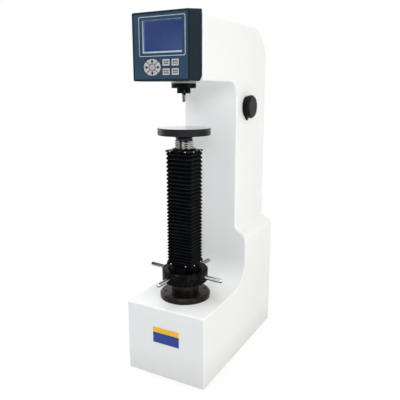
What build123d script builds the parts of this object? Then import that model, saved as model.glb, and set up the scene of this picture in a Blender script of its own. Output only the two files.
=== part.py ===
from build123d import *
import os
from math import asin, cos, degrees, radians, sin

# Bench hardness tester of the tall, dead-weight type, in millimetres.
# The origin is where the test axis meets the surface that the feet stand on.
# X runs to the machine's right, Y runs from the front to the rear, Z is up.
# The machine is shown with its table 70 mm below the indenter.

os.makedirs("parts", exist_ok=True)

# Small gaps between pieces
running = 0.05          # radial clearance of a shaft that turns or slides
seat_gap = 0.3          # rest gap between faces that move against each other
slip = 0.1              # radial clearance of a piece that is fitted and stays
past = 1.0              # how far a cut runs past the face that it opens
key_gap = 0.25          # gap round a push key in its panel

# White body: a hollow C frame on a wide foot
foot_height = 10.0
body_width = 257.0
body_depth = 510.0
body_front = 120.5      # from the test axis forward to the front face
deck_rise = 215.5       # deck above the underside of the body
column_inset = 38.0     # step on each side from the foot in to the column
throat = 161.0          # from the test axis back to the column
head_rise = 849.0       # head's underside above the underside of the body
head_height = 169.0
head_reach = 52.0       # head's front face, forward of the test axis
wall = 8.0
sweep_radius = 80.0     # deck into column
throat_radius = 45.0    # column into head
crown_radius = 110.0    # head's top into the rear face
shoulder_rise = 375.0   # wide part of the body ends here
shoulder_slope = 0.56   # fall of the shoulder, as height over width
shoulder_round = 28.0
shoulder_cove = 15.0
deck_edge = 5.0         # rounding of the deck's front edge
head_edge = 6.0         # rounding of the head's front edges
body_edge = 4.0         # rounding along the sides

underside = foot_height
deck = underside + deck_rise
head_under = underside + head_rise
head_top = head_under + head_height
front = -body_front
rear = front + body_depth
half_base = body_width / 2
half_column = half_base - column_inset
shoulder_low = underside + shoulder_rise
shoulder_high = shoulder_low + (half_base - half_column) * shoulder_slope
floor_top = underside + wall
head_floor = head_under + wall
rear_inside = rear - wall
column_front = throat + wall
column_side = half_column - wall
train_step = (rear_inside - column_front) / 17     # the load train is laid out in these steps

# Covers, their screws and the feet
cover_sheet = 2.0
cover_lap = 12.0        # how far a cover laps over its opening
door_inset = 36.5       # from the body's side in to the edge of a rear opening
lid_inset = 38.5
lid_ahead = 32.0        # from the head's front back to the lid's opening
lid_behind = 49.5       # from the lid's opening to where the crown bends down
upper_door = (half_column - door_inset, 470.0, 880.0)     # half width, low and high
lower_door = (half_base - door_inset, 60.0, 330.0)
lid_opening = (half_column - lid_inset, lid_ahead - head_reach, rear - crown_radius - lid_behind)
vent = (30.0, 3.0, 8.0, 230.0, 7)     # half width, height, pitch, lowest, count
cable_hole = 14.0
cable_share = 0.6       # height of the cable hole in the display box
lid_sheet = 1.6
cover_screw_head = 3.4
cover_screw_rise = 1.6
cover_screw_core = 1.6
cover_screw_depth = 6.0
foot_radius = 15.0
foot_stud = 5.0
foot_stud_rise = 6.0    # stud above the floor inside
foot_bevel = 1.5
foot_taper = 2.0
foot_inset_x = 22.0
foot_inset_y = 48.0
front_plate_size = (87.0, 48.0, 0.8)
front_plate_shift = 5.0
front_plate_rise = 131.0              # centre of the plate above the underside

# Lead screw, its foot on the deck, capstan and table
screw_radius = 27.0
screw_bottom = 145.0
screw_bore = 12.0
screw_bore_depth = 30.0
screw_chamfer = 2.0
screw_plain = 45.0      # plain length at the top, above the keyway
keyway_width = 8.2
keyway_depth = 4.0
screw_clear = 0.6
flange_radius = 76.0
flange_height = 16.5
flange_bevel = 5.0
neck_radius = 41.0
neck_height = 24.0
flange_screw_circle = 58.8
flange_screw_angle = 39.0
flange_screw_head = 5.0
flange_screw_core = 3.0
flange_screw_height = 5.5
flange_screw_sink = 6.0 # depth of the pocket for the screw's head
key_slot = (8.0, 2.0, 12.0)           # depth, rise above the deck, height
bearing_height = 9.7
bearing_radius = 40.0
bearing_washer = 2.5
bearing_cage = 2.0      # cage set in from the washers
bearing_play = 0.4
ring_radius = 69.0
ring_height = 38.0
ring_edge = 3.0
nut_radius = 36.0
spoke_radius = 6.2
spoke_reach = 131.6
spoke_root = 46.0
spoke_angle = -6.1
spoke_drop = 15.4       # spokes' centre below the ring's top
table_radius = 75.5
table_height = 20.0
table_edge = 1.2
table_hub = (29.0, 3.4)               # radius and height of the step under the table
table_cone = 5.1
table_collar = (24.0, 5.5)
table_top = 732.0
table_spigot_gap = 2.0

# Bellows round the screw
bellows_width = 84.0
bellows_depth = 75.0
bellows_corner = 5.0
bellows_fold = 5.0
bellows_pleats = 31
bellows_sag = 0.16      # upper pleats are longer than the lower ones by this share
bellows_wall = 1.5
bellows_base_height = 6.0
bellows_base_rise = 16.0
bellows_base_margin = 0.6
bellows_base_play = 1.5
plate_screw = (2.6, 0.6, 25.0)        # radius, how proud, from the middle
bellows_cap_height = 5.0
bellows_cap_margin = 0.0
bellows_cap_collar = (6.0, 4.0)       # wall and height
bellows_collar = 34.0
skirt_radius = 52.0
skirt_margin = 1.0
cap_drop = 28.0         # bellows' cap below the top of the screw

# Nose, spindle and indenter
nose_plate = (35.0, 5.0)              # radius, thickness
nose_flange = (34.5, 13.0)
guard_radius = 19.0
guard_height = 14.0
guard_wall = 4.0
guard_slot = (21.0, 10.0, -40.0)      # width, height, heading in degrees
bush_radius = 18.0
bush_length = 59.0
spindle_radius = 12.0
spindle_collar = (17.0, 6.0)
spindle_nose = 7.5
spindle_tip = 5.0
spindle_rise = 3.0      # nose above the guard's low edge
spindle_cone = 5.0
bush_rise = 5.0
indenter_radius = 4.6
indenter_length = 22.0
indenter_stem = (3.1, 14.0)
indenter_cone = 4.0
clamp_radius = 1.6
clamp_head = (2.6, 4.0)
clamp_heading = -45.0
clamp_dip = 45.0
clamp_rise = 6.0        # screw's start above the spindle's low end
clamp_start = 5.2       # screw's head from its start

# Load train inside the head and column
lever_rise = 73.0       # lever's centre above the floor of the head
lever_short_arm = 16.0
lever_half_width = 9.0
lever_under = 10.0      # underside below the pin
lever_over = 15.0       # crest above the pin
lever_tip = 8.0         # half height at the rear end
lever_ends = (14.0, 12.0)             # beyond the pin and beyond the weights' pin
lever_crest = 40.0
lever_window = (60.0, 30.0, 3.0, 4.0) # start, rest before the end, below and above the pin
lever_pad = (3.0, 2.0)                # radius and drop of the pads that press on the spindle
lever_pin = 7.0
lever_pin_reach = 16.0
lever_end_pin = 5.0
lever_end_reach = 6.0
hanger_ear = (1.5, 4.0, 14.0)         # gap beside the lever, thickness, half depth
hanger_drop = 55.0      # underside of the yoke below the lever's pin
hanger_rise = 12.0
hanger_slot = 2.0
hanger_yoke = 14.0
hanger_rod = 5.0
hanger_foot = (32.0, 8.0)
piston_rod = 4.0
piston = (10.0, 38.0, 1.0)            # height, rise above the shelf, play
weight_height = 45.0
weight_count = 3
weight_edge = 1.5
shelf_low = 424.0
shelf_sheet = 8.0
shelf_setback = 12.0
dashpot_radius = 20.0
dashpot_wall = 4.0
dashpot_rise = 81.0     # top above the shelf's underside
cam_rise = 94.0
weight_rise = 129.0
load_cam = (16.0, 6.0, 6.0)           # radius, offset, thickness
load_cam_side = 21.5
cam_shaft = (4.0, 20.0)
motor = (1.5, 8.5, 30.0, 16.0, 4.0)   # gap to the cam, gap to the wall, half depth, top, corner
fulcrum_side = (7.0, 10.0)            # gap beside the lever and cheek
fulcrum_base = (34.0, 13.0)
fulcrum_cheek = (30.0, 14.0, 22.0, 6.0)  # ahead, behind, rise above the pin, bridge
fulcrum_bore = 4.0
sensor = (15.0, 12.0, 40.0)           # half width, half depth, height
plunger = (2.5, 20.0, 10.0)           # radius, reach into the sensor, room above it
plunger_room = 3.0
supply = (20.5, 10.0, 19.0, 51.5, 55.0)  # gaps: side, middle, front, rear; then height
supply_slot = (10.0, 20.0, 16.0, 4.0) # margin, first, pitch, width
supply_corner = 3.0

shelf_top = shelf_low + shelf_sheet
load_cam_height = shelf_low + cam_rise
dashpot_top = shelf_low + dashpot_rise
weight_foot = shelf_low + weight_rise
weight_radius = 4 * train_step
lever_height = head_floor + lever_rise
hanger_top = lever_height + hanger_rise

# Load selector on the right side
selector_y = column_front + 5 * train_step
selector_z = 786.0
selector_shaft = 6.0
dial_radius = 32.0
dial_pointer = 42.0
dial_sheet = 5.0
knob_radius = 35.0
knob_gap = 2.5
knob_height = 16.0
knob_edge = 4.0
fork_length = 74.0
fork = (14.5, 8.0, 13.0, 6.0, 20.0)   # gap to the wall, thickness, hub, half width, hook
knob_sink = 8.0         # shaft into the knob
knob_base_edge = 3.0

# Display box
display_width = 171.2
display_lip = (5.0, 6.0, 10.0)        # frame inside the panel: sides, ends, depth
display_height = 170.0
display_face = -116.0
display_low = 858.0
display_wedge = 8.0     # the top climbs by this towards the back
display_wall = 3.0
display_chamfer = (12.0, 14.0)
display_corner = 4.0
panel_sheet = 3.0
panel_margin = 2.2
screen_low = (-55.6, 927.4)
screen_high = (64.0, 1008.0)
screen_lip = (4.2, 4.6, 1.0, 0.8)     # left, bottom, right and top of the bright lip
lens_sheet = 1.2
screen_depth = 6.6
screen_slope = (0.8, 0.5)             # lip's rim left and low, then right and high
screen_corner = 1.8
lcd = (2.0, 8.0)        # beyond the window, thickness
pad_centre = (-24.8, 892.4)
pad_radii = (25.8, 20.6)
pad_middle = (9.0, 7.3)
pad_split = 1.8
square_key = (21.0, 16.0)
square_key_columns = (17.6, 44.6)
square_key_rows = (903.6, 880.8)
square_key_corner = 1.5
key_proud = 1.2
key_travel = 0.8
key_stem = 3.0
key_stem_radius = 2.0
board = (64.0, 8.0, 3.0, 1.6)         # half width, gap below, gap above, thickness
standoff = (3.0, 4.0, 5.0)            # radius, inset from the side, inset from the edge

# Rear electrics
inlet_inset = 32.0      # from the edge of the lower opening
inlet_z = 110.0
inlet_body = (46.0, 62.0, 28.0)
inlet_flange = (52.0, 68.0, 2.0)
socket_size = (25.0, 17.0, 16.0)
socket_drop = 13.0
rocker_size = (20.0, 14.0, 10.0)
rocker_rise = 18.0
rocker_tilt = 8.0
rocker_sink = 3.0       # pivot below the inlet's face
rocker_pin = (1.2, 1.5)
rocker_pocket = 13.0
socket_pin = (1.0, 2.0, 12.0)
port = (8.4, 4.2, 14.0, 6.0, 2.2)     # half width, half height, depth, proud, corner
port_flange = (15.4, 6.2, 1.0)
port_hole = (10.0, 6.0)

inlet_x = lower_door[0] - inlet_inset
port_x = -inlet_x


def block(x0, x1, y0, y1, z0, z1):
    """Box between two corners."""
    return Pos((x0 + x1) / 2, (y0 + y1) / 2, (z0 + z1) / 2) * Box(x1 - x0, y1 - y0, z1 - z0)


def pillar(radius, z0, z1, x=0.0, y=0.0):
    """Upright cylinder."""
    return Pos(x, y, (z0 + z1) / 2) * Cylinder(radius, z1 - z0)


def bar_x(radius, x0, x1, y, z):
    """Cylinder along X."""
    return Pos((x0 + x1) / 2, y, z) * Rot(0, 90, 0) * Cylinder(radius, x1 - x0)


def bar_y(radius, y0, y1, x, z):
    """Cylinder along Y."""
    return Pos(x, (y0 + y1) / 2, z) * Rot(90, 0, 0) * Cylinder(radius, y1 - y0)


def turned(points):
    """Solid turned about the test axis from (radius, height) points."""
    face = Plane.XZ * make_face(Polyline(*points, close=True))
    return revolve(face, Axis.Z)


def rounded_face(points, radii):
    """Flat face from corner points, each rounded by its own radius."""
    return make_face(FilletPolyline(*points, radius=radii, close=True))


def across(face, half_width):
    """Prism from a (y, z) face, equally far to both sides."""
    return extrude(Plane.YZ * face, half_width, both=True)


def along(face, reach):
    """Prism from an (x, z) face, equally far to the front and the rear."""
    return extrude(Plane.XZ * face, reach, both=True)


def around(solid, count, first=0.0):
    """Copies of a solid, evenly spaced about the test axis."""
    return [Rot(0, 0, first + step * 360.0 / count) * solid for step in range(count)]


def group(solids):
    """Separate solids kept together as one node."""
    return Compound(children=[piece for solid in solids for piece in solid.solids()])


# Heights on the test axis that follow from the sizes
flange_top = deck + flange_height
neck_top = flange_top + neck_height
bearing_top = neck_top + bearing_height
ring_low = bearing_top + seat_gap
ring_top = ring_low + ring_height
spoke_height = ring_top - spoke_drop
bellows_base_low = ring_top + bellows_base_rise
bellows_low = bellows_base_low + bellows_base_height
table_low = table_top - table_height
screw_top = table_low - table_hub[1] - table_cone - table_collar[1]
bellows_high = screw_top - cap_drop - bellows_cap_height
flange_low = head_under - nose_plate[1] - nose_flange[1]
guard_low = flange_low - guard_height
spindle_step = flange_low + 4.0
spindle_low = guard_low - spindle_rise
spindle_top = lever_height - lever_under - lever_pad[1] - seat_gap
tip_height = spindle_low - indenter_length
fulcrum_y = -lever_short_arm
hang_y = column_front + 10.8 * train_step
sensor_low = lever_height + fulcrum_cheek[2] + fulcrum_cheek[3]
bush_low = flange_low + bush_rise
cable_height = display_low + display_height * cable_share
bush_high = bush_low + bush_length


def side_outline():
    """The body seen from its side: foot, column and head in one C."""
    points = [(front, underside), (front, deck), (throat, deck), (throat, head_under),
              (-head_reach, head_under), (-head_reach, head_top), (rear, head_top), (rear, underside)]
    radii = [0, deck_edge, sweep_radius, throat_radius, head_edge, head_edge, crown_radius, 0]
    return rounded_face(points, radii)


def front_outline():
    """The body seen from the front: wide below, narrow above, with a shoulder between."""
    right = [(half_base, underside), (half_base, shoulder_low), (half_column, shoulder_high),
             (half_column, head_top)]
    left = [(-x, z) for x, z in reversed(right)]
    radii = [0, shoulder_round, shoulder_cove, 0]
    return rounded_face(right + left, radii + radii[::-1])


def is_rim(edge):
    """True for the long edges where the side of the body turns into its front, top or rear."""
    middle = edge.position_at(0.5)
    heading = edge.tangent_at(0.5)
    crosswise = abs(heading.X) > 0.999
    seam = abs(heading.Y) > 0.999 and deck + 1 < middle.Z < head_under - 1
    return not (crosswise or seam or middle.Z < underside + 0.1)


def cover_screw_places():
    """Centres of the cover screws: the lid's six, then the rear covers'."""
    lid_x = lid_opening[0] + cover_lap / 2
    lid_ys = (lid_opening[1] - cover_lap / 2, (lid_opening[1] + lid_opening[2]) / 2,
              lid_opening[2] + cover_lap / 2)
    lid = [(side * lid_x, y) for side in (-1, 1) for y in lid_ys]
    rears = []
    for half, low, high in (upper_door, lower_door):
        for z in (low - cover_lap / 2, (low + high) / 2, high + cover_lap / 2):
            rears += [(side * (half + cover_lap / 2), z) for side in (-1, 1)]
    return lid, rears


def frame_body():
    """Hollow white C frame with its openings and an inner shelf."""
    side, face = side_outline(), front_outline()
    outer = across(side, half_base) & along(face, body_depth)
    outer = fillet([edge for edge in outer.edges() if is_rim(edge)], body_edge)
    inner = across(offset(side, -wall), half_base) & along(offset(face, -wall), body_depth)
    body = outer - inner
    shelf = block(-column_side - past, column_side + past, selector_y + shelf_setback, rear_inside + past,
                  shelf_low, shelf_top)
    body = body + shelf
    cuts = [
        pillar(neck_radius, deck - wall - past, deck + past),
        pillar(neck_radius, underside - past, floor_top + past),
        pillar(bush_radius + slip, head_under - past, head_floor + past),
        bar_x(selector_shaft + running, column_side - past, half_column + past, selector_y, selector_z),
        bar_x(selector_shaft + running, -column_side - wall / 2, -column_side + past, selector_y, selector_z),
        bar_y(cable_hole, -head_reach - past, -head_reach + wall + past, 0, cable_height),
    ]
    for half, low, high in (upper_door, lower_door):
        cuts.append(block(-half, half, rear_inside - past, rear + past, low, high))
    half, ahead, behind = lid_opening
    cuts.append(block(-half, half, ahead, behind, head_top - wall - past, head_top + past))
    cuts.append(block(-half - cover_lap - slip, half + cover_lap + slip, ahead - cover_lap - slip,
                      behind + cover_lap + slip, head_top - lid_sheet, head_top + past))
    for x, y in foot_places():
        cuts.append(pillar(foot_stud + slip, underside - past, floor_top + past, x, y))
    lid_screws, rear_screws = cover_screw_places()
    core = cover_screw_core + slip
    for x, y in lid_screws:
        cuts.append(pillar(core, head_top - cover_screw_depth - seat_gap, head_top, x, y))
    for x, z in rear_screws:
        cuts.append(bar_y(core, rear - cover_screw_depth + cover_sheet - seat_gap, rear + past, x, z))
    for x, y in flange_screw_places():
        cuts.append(pillar(flange_screw_core + slip, deck - wall - past, deck + past, x, y))
    return body - cuts


def foot_places():
    """Centres of the four feet."""
    x = half_base - foot_inset_x
    return [(side * x, y) for side in (-1, 1) for y in (front + foot_inset_y, rear - foot_inset_y)]


def flange_screw_places():
    """Centres of the four screws through the flange on the deck."""
    angles = [radians(flange_screw_angle + quarter * 90) for quarter in range(4)]
    return [(flange_screw_circle * cos(a), flange_screw_circle * sin(a)) for a in angles]


def feet():
    """Rubber feet, each on a stud that goes up through the floor."""
    profile = [(0, 0), (foot_radius - foot_bevel, 0), (foot_radius, foot_bevel),
               (foot_radius - foot_taper, foot_height), (foot_stud, foot_height),
               (foot_stud, floor_top + foot_stud_rise), (0, floor_top + foot_stud_rise)]
    foot = turned(profile)
    return group([Pos(x, y, 0) * foot for x, y in foot_places()])


def rear_cover(door):
    """Sheet over one of the rear openings, with its screw holes."""
    half, low, high = door
    outer = half + cover_lap
    sheet = block(-outer, outer, rear, rear + cover_sheet, low - cover_lap, high + cover_lap)
    sheet = fillet(sheet.edges().filter_by(Axis.Y), cover_lap / 2)
    holes = [bar_y(cover_screw_core + slip, rear - past, rear + cover_sheet + past, x, z)
             for x, z in cover_screw_places()[1] if low - cover_lap < z < high + cover_lap]
    return sheet - holes


def lower_rear_cover():
    """Lower rear cover, cut out for the power inlet and the data port."""
    wide, high, _ = inlet_body
    near, far = rear - past, rear + cover_sheet + past
    half_hole, rise_hole = port_hole
    cuts = [block(inlet_x - wide / 2 - slip, inlet_x + wide / 2 + slip, near, far,
                  inlet_z - high / 2 - slip, inlet_z + high / 2 + slip),
            block(port_x - half_hole, port_x + half_hole, near, far, inlet_z - rise_hole,
                  inlet_z + rise_hole)]
    half, height, pitch, lowest, count = vent
    vents = [block(-half, half, near, far, lowest + row * pitch, lowest + row * pitch + height)
             for row in range(count)]
    return rear_cover(lower_door) - cuts - vents


def top_cover():
    """Lid let into the head's top, flush with it."""
    half, ahead, behind = lid_opening
    sheet = block(-half - cover_lap, half + cover_lap, ahead - cover_lap, behind + cover_lap,
                  head_top - lid_sheet, head_top)
    holes = [pillar(cover_screw_core + slip, head_top - lid_sheet - past, head_top + past, x, y)
             for x, y in cover_screw_places()[0]]
    return sheet - holes


def cover_screws():
    """Pan-head screws of the lid and the rear covers."""
    shank = cover_screw_depth
    screw = turned([(0, -shank), (cover_screw_core, -shank), (cover_screw_core, 0), (cover_screw_head, 0),
                    (cover_screw_head - 0.6, cover_screw_rise - 0.4), (1.4, cover_screw_rise),
                    (0, cover_screw_rise)])
    lid_screws, rear_screws = cover_screw_places()
    upright = [Pos(x, y, head_top) * screw for x, y in lid_screws]
    level = [Pos(x, rear + cover_sheet, z) * Rot(-90, 0, 0) * screw for x, z in rear_screws]
    return group(upright + level)


def front_plate():
    """Bare plate on the front of the foot."""
    wide, high, thick = front_plate_size
    z = underside + front_plate_rise
    return block(front_plate_shift - wide / 2, front_plate_shift + wide / 2, front - thick, front,
                 z - high / 2, z + high / 2)


def screw_base():
    """Flange on the deck with the neck that carries the capstan and guides the screw."""
    bore = screw_radius + screw_clear
    profile = [(bore, deck), (flange_radius, deck), (flange_radius, flange_top - flange_bevel),
               (flange_radius - flange_bevel, flange_top), (neck_radius, flange_top),
               (neck_radius, neck_top), (bore, neck_top)]
    base = turned(profile)
    spigot = pillar(neck_radius - slip, deck - wall, deck) - pillar(bore, deck - wall - past, deck + past)
    base = base + spigot
    holes = []
    for x, y in flange_screw_places():
        holes.append(pillar(flange_screw_core + slip, deck - past, flange_top + past, x, y))
        pocket_low = flange_top - flange_screw_sink
        holes.append(pillar(flange_screw_head + slip, pocket_low, flange_top + past, x, y))
    depth, rise, height = key_slot
    slot = block(-keyway_width / 2, keyway_width / 2, -bore - depth, -bore + past, deck + rise,
                 deck + rise + height)
    return base - holes - slot


def guide_key():
    """Feather key that stops the lead screw turning."""
    bore = screw_radius + screw_clear
    tongue = screw_radius - keyway_depth + seat_gap
    side = keyway_width / 2 - slip
    depth, rise, height = key_slot
    return block(-side, side, -bore - depth + slip, -tongue, deck + rise + slip, deck + rise + height - slip)


def socket_screw(head_radius, head_height, core_radius, length):
    """Socket-head cap screw with its head's top at the origin."""
    body = turned([(0, 0), (head_radius, 0), (head_radius, -head_height), (core_radius, -head_height),
                   (core_radius, -length), (0, -length)])
    socket = extrude(RegularPolygon(head_radius * 0.55, 6), -head_height * 0.5)
    return body - socket


def flange_screws():
    """Socket screws that hold the flange to the deck."""
    screw = socket_screw(flange_screw_head, flange_screw_height, flange_screw_core, flange_height + wall)
    top = flange_top - flange_screw_sink + flange_screw_height
    return group([Pos(x, y, top) * screw for x, y in flange_screw_places()])


def thrust_bearing():
    """Thrust bearing under the capstan: two washers and a ball cage."""
    bore = screw_radius + screw_clear + bearing_play
    cage = bearing_radius - bearing_cage
    profile = [(bore, neck_top), (bearing_radius, neck_top), (bearing_radius, neck_top + bearing_washer),
               (cage, neck_top + bearing_washer), (cage, bearing_top - bearing_washer),
               (bearing_radius, bearing_top - bearing_washer), (bearing_radius, bearing_top),
               (bore, bearing_top)]
    return turned(profile)


def capstan_ring():
    """Heavy hand-turned ring with four bores for its spokes."""
    inside = nut_radius
    profile = [(inside, ring_low), (ring_radius - ring_edge, ring_low), (ring_radius, ring_low + ring_edge),
               (ring_radius, ring_top - ring_edge), (ring_radius - ring_edge, ring_top), (inside, ring_top)]
    ring = turned(profile)
    bore = bar_x(spoke_radius + running, spoke_root - past, ring_radius + past, 0, spoke_height)
    return ring - around(bore, 4, spoke_angle)


def capstan_spokes():
    """Four round spokes with domed ends."""
    dome = spoke_radius * 0.5
    face = make_face(Polyline((spoke_root, 0), (spoke_reach, 0), (spoke_reach, spoke_radius - dome),
                              (spoke_reach - dome, spoke_radius), (spoke_root, spoke_radius), close=True))
    spoke = Pos(0, 0, spoke_height) * revolve(face, Axis.X)
    return group(around(spoke, 4, spoke_angle))


def lead_nut():
    """Bronze nut inside the capstan."""
    bore = screw_radius + running
    outside, top = nut_radius - running, ring_top - past
    return turned([(bore, ring_low), (outside, ring_low), (outside, top), (bore, top)])


def lead_screw():
    """Lead screw with a keyway down its front and a bore in its top."""
    profile = [(0, screw_bottom), (screw_radius - screw_chamfer, screw_bottom),
               (screw_radius, screw_bottom + screw_chamfer), (screw_radius, screw_top - screw_chamfer),
               (screw_radius - screw_chamfer, screw_top), (screw_bore + slip, screw_top),
               (screw_bore + slip, screw_top - screw_bore_depth), (0, screw_top - screw_bore_depth)]
    keyway = block(-keyway_width / 2, keyway_width / 2, -screw_radius - past, -screw_radius + keyway_depth,
                   screw_bottom - past, screw_top - screw_plain)
    return turned(profile) - keyway


def work_table():
    """Round flat table with the cone and spigot that seat it in the screw."""
    wide, step = table_hub
    narrow, collar = table_collar
    profile = [(0, table_top), (table_radius - table_edge, table_top), (table_radius, table_top - table_edge),
               (table_radius, table_low + table_edge), (table_radius - table_edge, table_low),
               (wide, table_low), (wide, table_low - step), (narrow, screw_top + collar), (narrow, screw_top),
               (screw_bore, screw_top),
               (screw_bore, screw_top - screw_bore_depth + table_spigot_gap),
               (0, screw_top - screw_bore_depth + table_spigot_gap)]
    return turned(profile)


def pleat_section(width, depth, corner, z):
    """Rectangle with cut corners at one height of the bellows."""
    a, b = width / 2, depth / 2
    points = [(a, -b + corner), (a, b - corner), (a - corner, b), (-a + corner, b), (-a, b - corner),
              (-a, -b + corner), (-a + corner, -b), (a - corner, -b)]
    return Pos(0, 0, z) * make_face(Polyline(*points, close=True))


def pleat_heights():
    """Height of each valley of the bellows: the lower pleats are pressed together more."""
    span = bellows_high - bellows_low
    heights = []
    for step in range(bellows_pleats + 1):
        share = step / bellows_pleats
        heights.append(bellows_low + span * (share - bellows_sag * share * (1 - share)))
    return heights


def bellows():
    """Pleated cover between the capstan and the table."""
    heights = pleat_heights()
    valley = (bellows_width - 2 * bellows_fold, bellows_depth - 2 * bellows_fold, bellows_corner * 0.5)
    peak = (bellows_width, bellows_depth, bellows_corner)
    sections = [pleat_section(*valley, heights[0])]
    for low, high in zip(heights, heights[1:]):
        sections.append(pleat_section(*peak, (low + high) / 2))
        sections.append(pleat_section(*valley, high))
    outer = loft(sections, ruled=True)
    wide, deep = valley[0] / 2 - bellows_wall, valley[1] / 2 - bellows_wall
    return outer - block(-wide, wide, -deep, deep, bellows_low - past, bellows_high + past)


def bellows_plate(low, high, margin):
    """Square plate with rounded corners that holds one end of the bellows."""
    a, b = bellows_width / 2 + margin, bellows_depth / 2 + margin
    plate = block(-a, a, -b, b, low, high)
    return fillet(plate.edges().filter_by(Axis.Z), bellows_corner)


def bellows_base():
    """Lower plate of the bellows and the ring that stands on the capstan."""
    plate = bellows_plate(bellows_base_low, bellows_low, bellows_base_margin)
    ring = pillar(bellows_collar, ring_top + seat_gap, bellows_base_low)
    hole = pillar(screw_radius + bellows_base_play, ring_top - past, bellows_low + past)
    radius, proud, side = plate_screw
    front_face = -bellows_depth / 2 - bellows_base_margin
    middle = (bellows_base_low + bellows_low) / 2
    screws = [bar_y(radius, front_face - proud, front_face + past, x, middle) for x in (-side, side)]
    return plate + ring - hole + screws


def bellows_skirt():
    """Soft skirt that hangs from the lower plate over the capstan's top."""
    top = pleat_section(bellows_width + skirt_margin, bellows_depth + skirt_margin, bellows_corner * 2,
                        bellows_base_low)
    bottom = Pos(0, 0, ring_top + seat_gap) * Circle(skirt_radius)
    skirt = loft([bottom, top])
    return skirt - pillar(bellows_collar + seat_gap, ring_top - past, bellows_low)


def bellows_cap():
    """Upper plate of the bellows with its collar round the screw."""
    plate = bellows_plate(bellows_high, bellows_high + bellows_cap_height, bellows_cap_margin)
    collar_wall, collar_height = bellows_cap_collar
    collar_top = bellows_high + bellows_cap_height + collar_height
    collar = pillar(screw_radius + collar_wall, bellows_high, collar_top)
    return plate + collar - pillar(screw_radius + slip, bellows_high - past, screw_top)


def nose_plate_part():
    """Grey plate under the head."""
    radius, thick = nose_plate
    bore, low = bush_radius + slip, head_under - thick
    return turned([(bore, low), (radius, low), (radius, head_under), (bore, head_under)])


def nose_flange_part():
    """Black flange that holds the spindle's bush."""
    radius, _ = nose_flange
    top = head_under - nose_plate[1]
    lip = spindle_radius + 0.6
    return turned([(lip, flange_low), (radius - 1.5, flange_low), (radius, flange_low + 1.5), (radius, top),
                   (bush_radius + slip, top), (bush_radius + slip, bush_low), (lip, bush_low)])


def nose_guard():
    """Slotted guard round the indenter's holder."""
    shell = turned([(guard_radius - guard_wall, guard_low), (guard_radius - 1, guard_low),
                    (guard_radius, guard_low + 1), (guard_radius, flange_low),
                    (guard_radius - guard_wall, flange_low)])
    wide, high, heading = guard_slot
    slot = block(-guard_radius - past, guard_radius + past, -wide / 2, wide / 2, guard_low - past,
                 guard_low + high)
    return shell - Rot(0, 0, heading) * slot


def spindle_bush():
    """Bronze bush that guides the spindle."""
    bore = spindle_radius + running
    return turned([(bore, bush_low), (bush_radius, bush_low), (bush_radius, bush_high), (bore, bush_high)])


def spindle():
    """Spindle with its stop collar, nose cone and indenter bore."""
    collar_radius, collar_height = spindle_collar
    collar_low = bush_high + seat_gap
    bore, depth = indenter_stem[0] + running, indenter_stem[1] + 1
    top = spindle_top
    profile = [(0, top), (spindle_radius - 1, top), (spindle_radius, top - 1),
               (spindle_radius, collar_low + collar_height), (collar_radius, collar_low + collar_height),
               (collar_radius, collar_low), (spindle_radius, collar_low), (spindle_radius, spindle_step),
               (spindle_nose, spindle_step), (spindle_nose, spindle_low + spindle_cone),
               (spindle_tip, spindle_low),
               (bore, spindle_low), (bore, spindle_low + depth), (0, spindle_low + depth)]
    return turned(profile) - clamp_frame() * pillar(clamp_radius + running, 0, clamp_start + past)


def clamp_frame():
    """Place of the indenter's clamp screw: down and out of the spindle's cone."""
    heading, dip = radians(clamp_heading), radians(clamp_dip)
    direction = (cos(heading) * cos(dip), sin(heading) * cos(dip), -sin(dip))
    reach = indenter_stem[0] + clamp_radius * sin(dip)
    start = (cos(heading) * reach, sin(heading) * reach, spindle_low + clamp_rise)
    return Plane(origin=start, z_dir=direction).location


def indenter():
    """Indenter: stem, round body and pointed tip."""
    stem, length = indenter_stem
    body, tip = indenter_radius, tip_height
    return turned([(0, spindle_low + length), (stem, spindle_low + length), (stem, spindle_low),
                   (body, spindle_low), (body, tip + indenter_cone), (body - 1, tip + indenter_cone - 1),
                   (2.0, tip + 1.1), (0.3, tip), (0, tip)])


def clamp_screw():
    """Small screw with a round head that clamps the indenter."""
    radius, height = clamp_head
    shank = pillar(clamp_radius, slip, clamp_start)
    head = pillar(radius, clamp_start, clamp_start + height)
    return clamp_frame() * (shank + head)


def fulcrum_block():
    """Bracket on the head's floor that carries the lever's pin and the depth sensor."""
    gap, thick = fulcrum_side
    inner, outer = lever_half_width + gap, lever_half_width + gap + thick
    half_depth, base_height = fulcrum_base
    ahead, behind, rise, bridge_height = fulcrum_cheek
    low = head_floor
    base_top, high = low + base_height, lever_height + rise
    base = block(-outer, outer, -half_depth, half_depth, low, base_top)
    cheeks = [block(x, x + thick, -ahead, behind, base_top, high) for x in (-outer, inner)]
    bridge = block(-outer, outer, -ahead, behind, high, high + bridge_height)
    holes = [pillar(bush_radius + slip, low - past, bush_high + behind),
             pillar(fulcrum_bore, high - past, high + bridge_height + past),
             bar_x(lever_pin + running, -outer - past, outer + past, fulcrum_y, lever_height)]
    return base + cheeks + bridge - holes


def depth_sensor():
    """Depth sensor above the spindle."""
    half_width, half_depth, height = sensor
    radius, reach, room = plunger
    case = block(-half_width, half_width, -half_depth, half_depth, sensor_low, sensor_low + height)
    return case - pillar(radius + running, sensor_low - past, sensor_low + reach + room)


def sensor_plunger():
    """Plunger that rests on the spindle and reaches up into the depth sensor."""
    radius, reach, _ = plunger
    return pillar(radius, spindle_top, sensor_low + reach)


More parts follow.
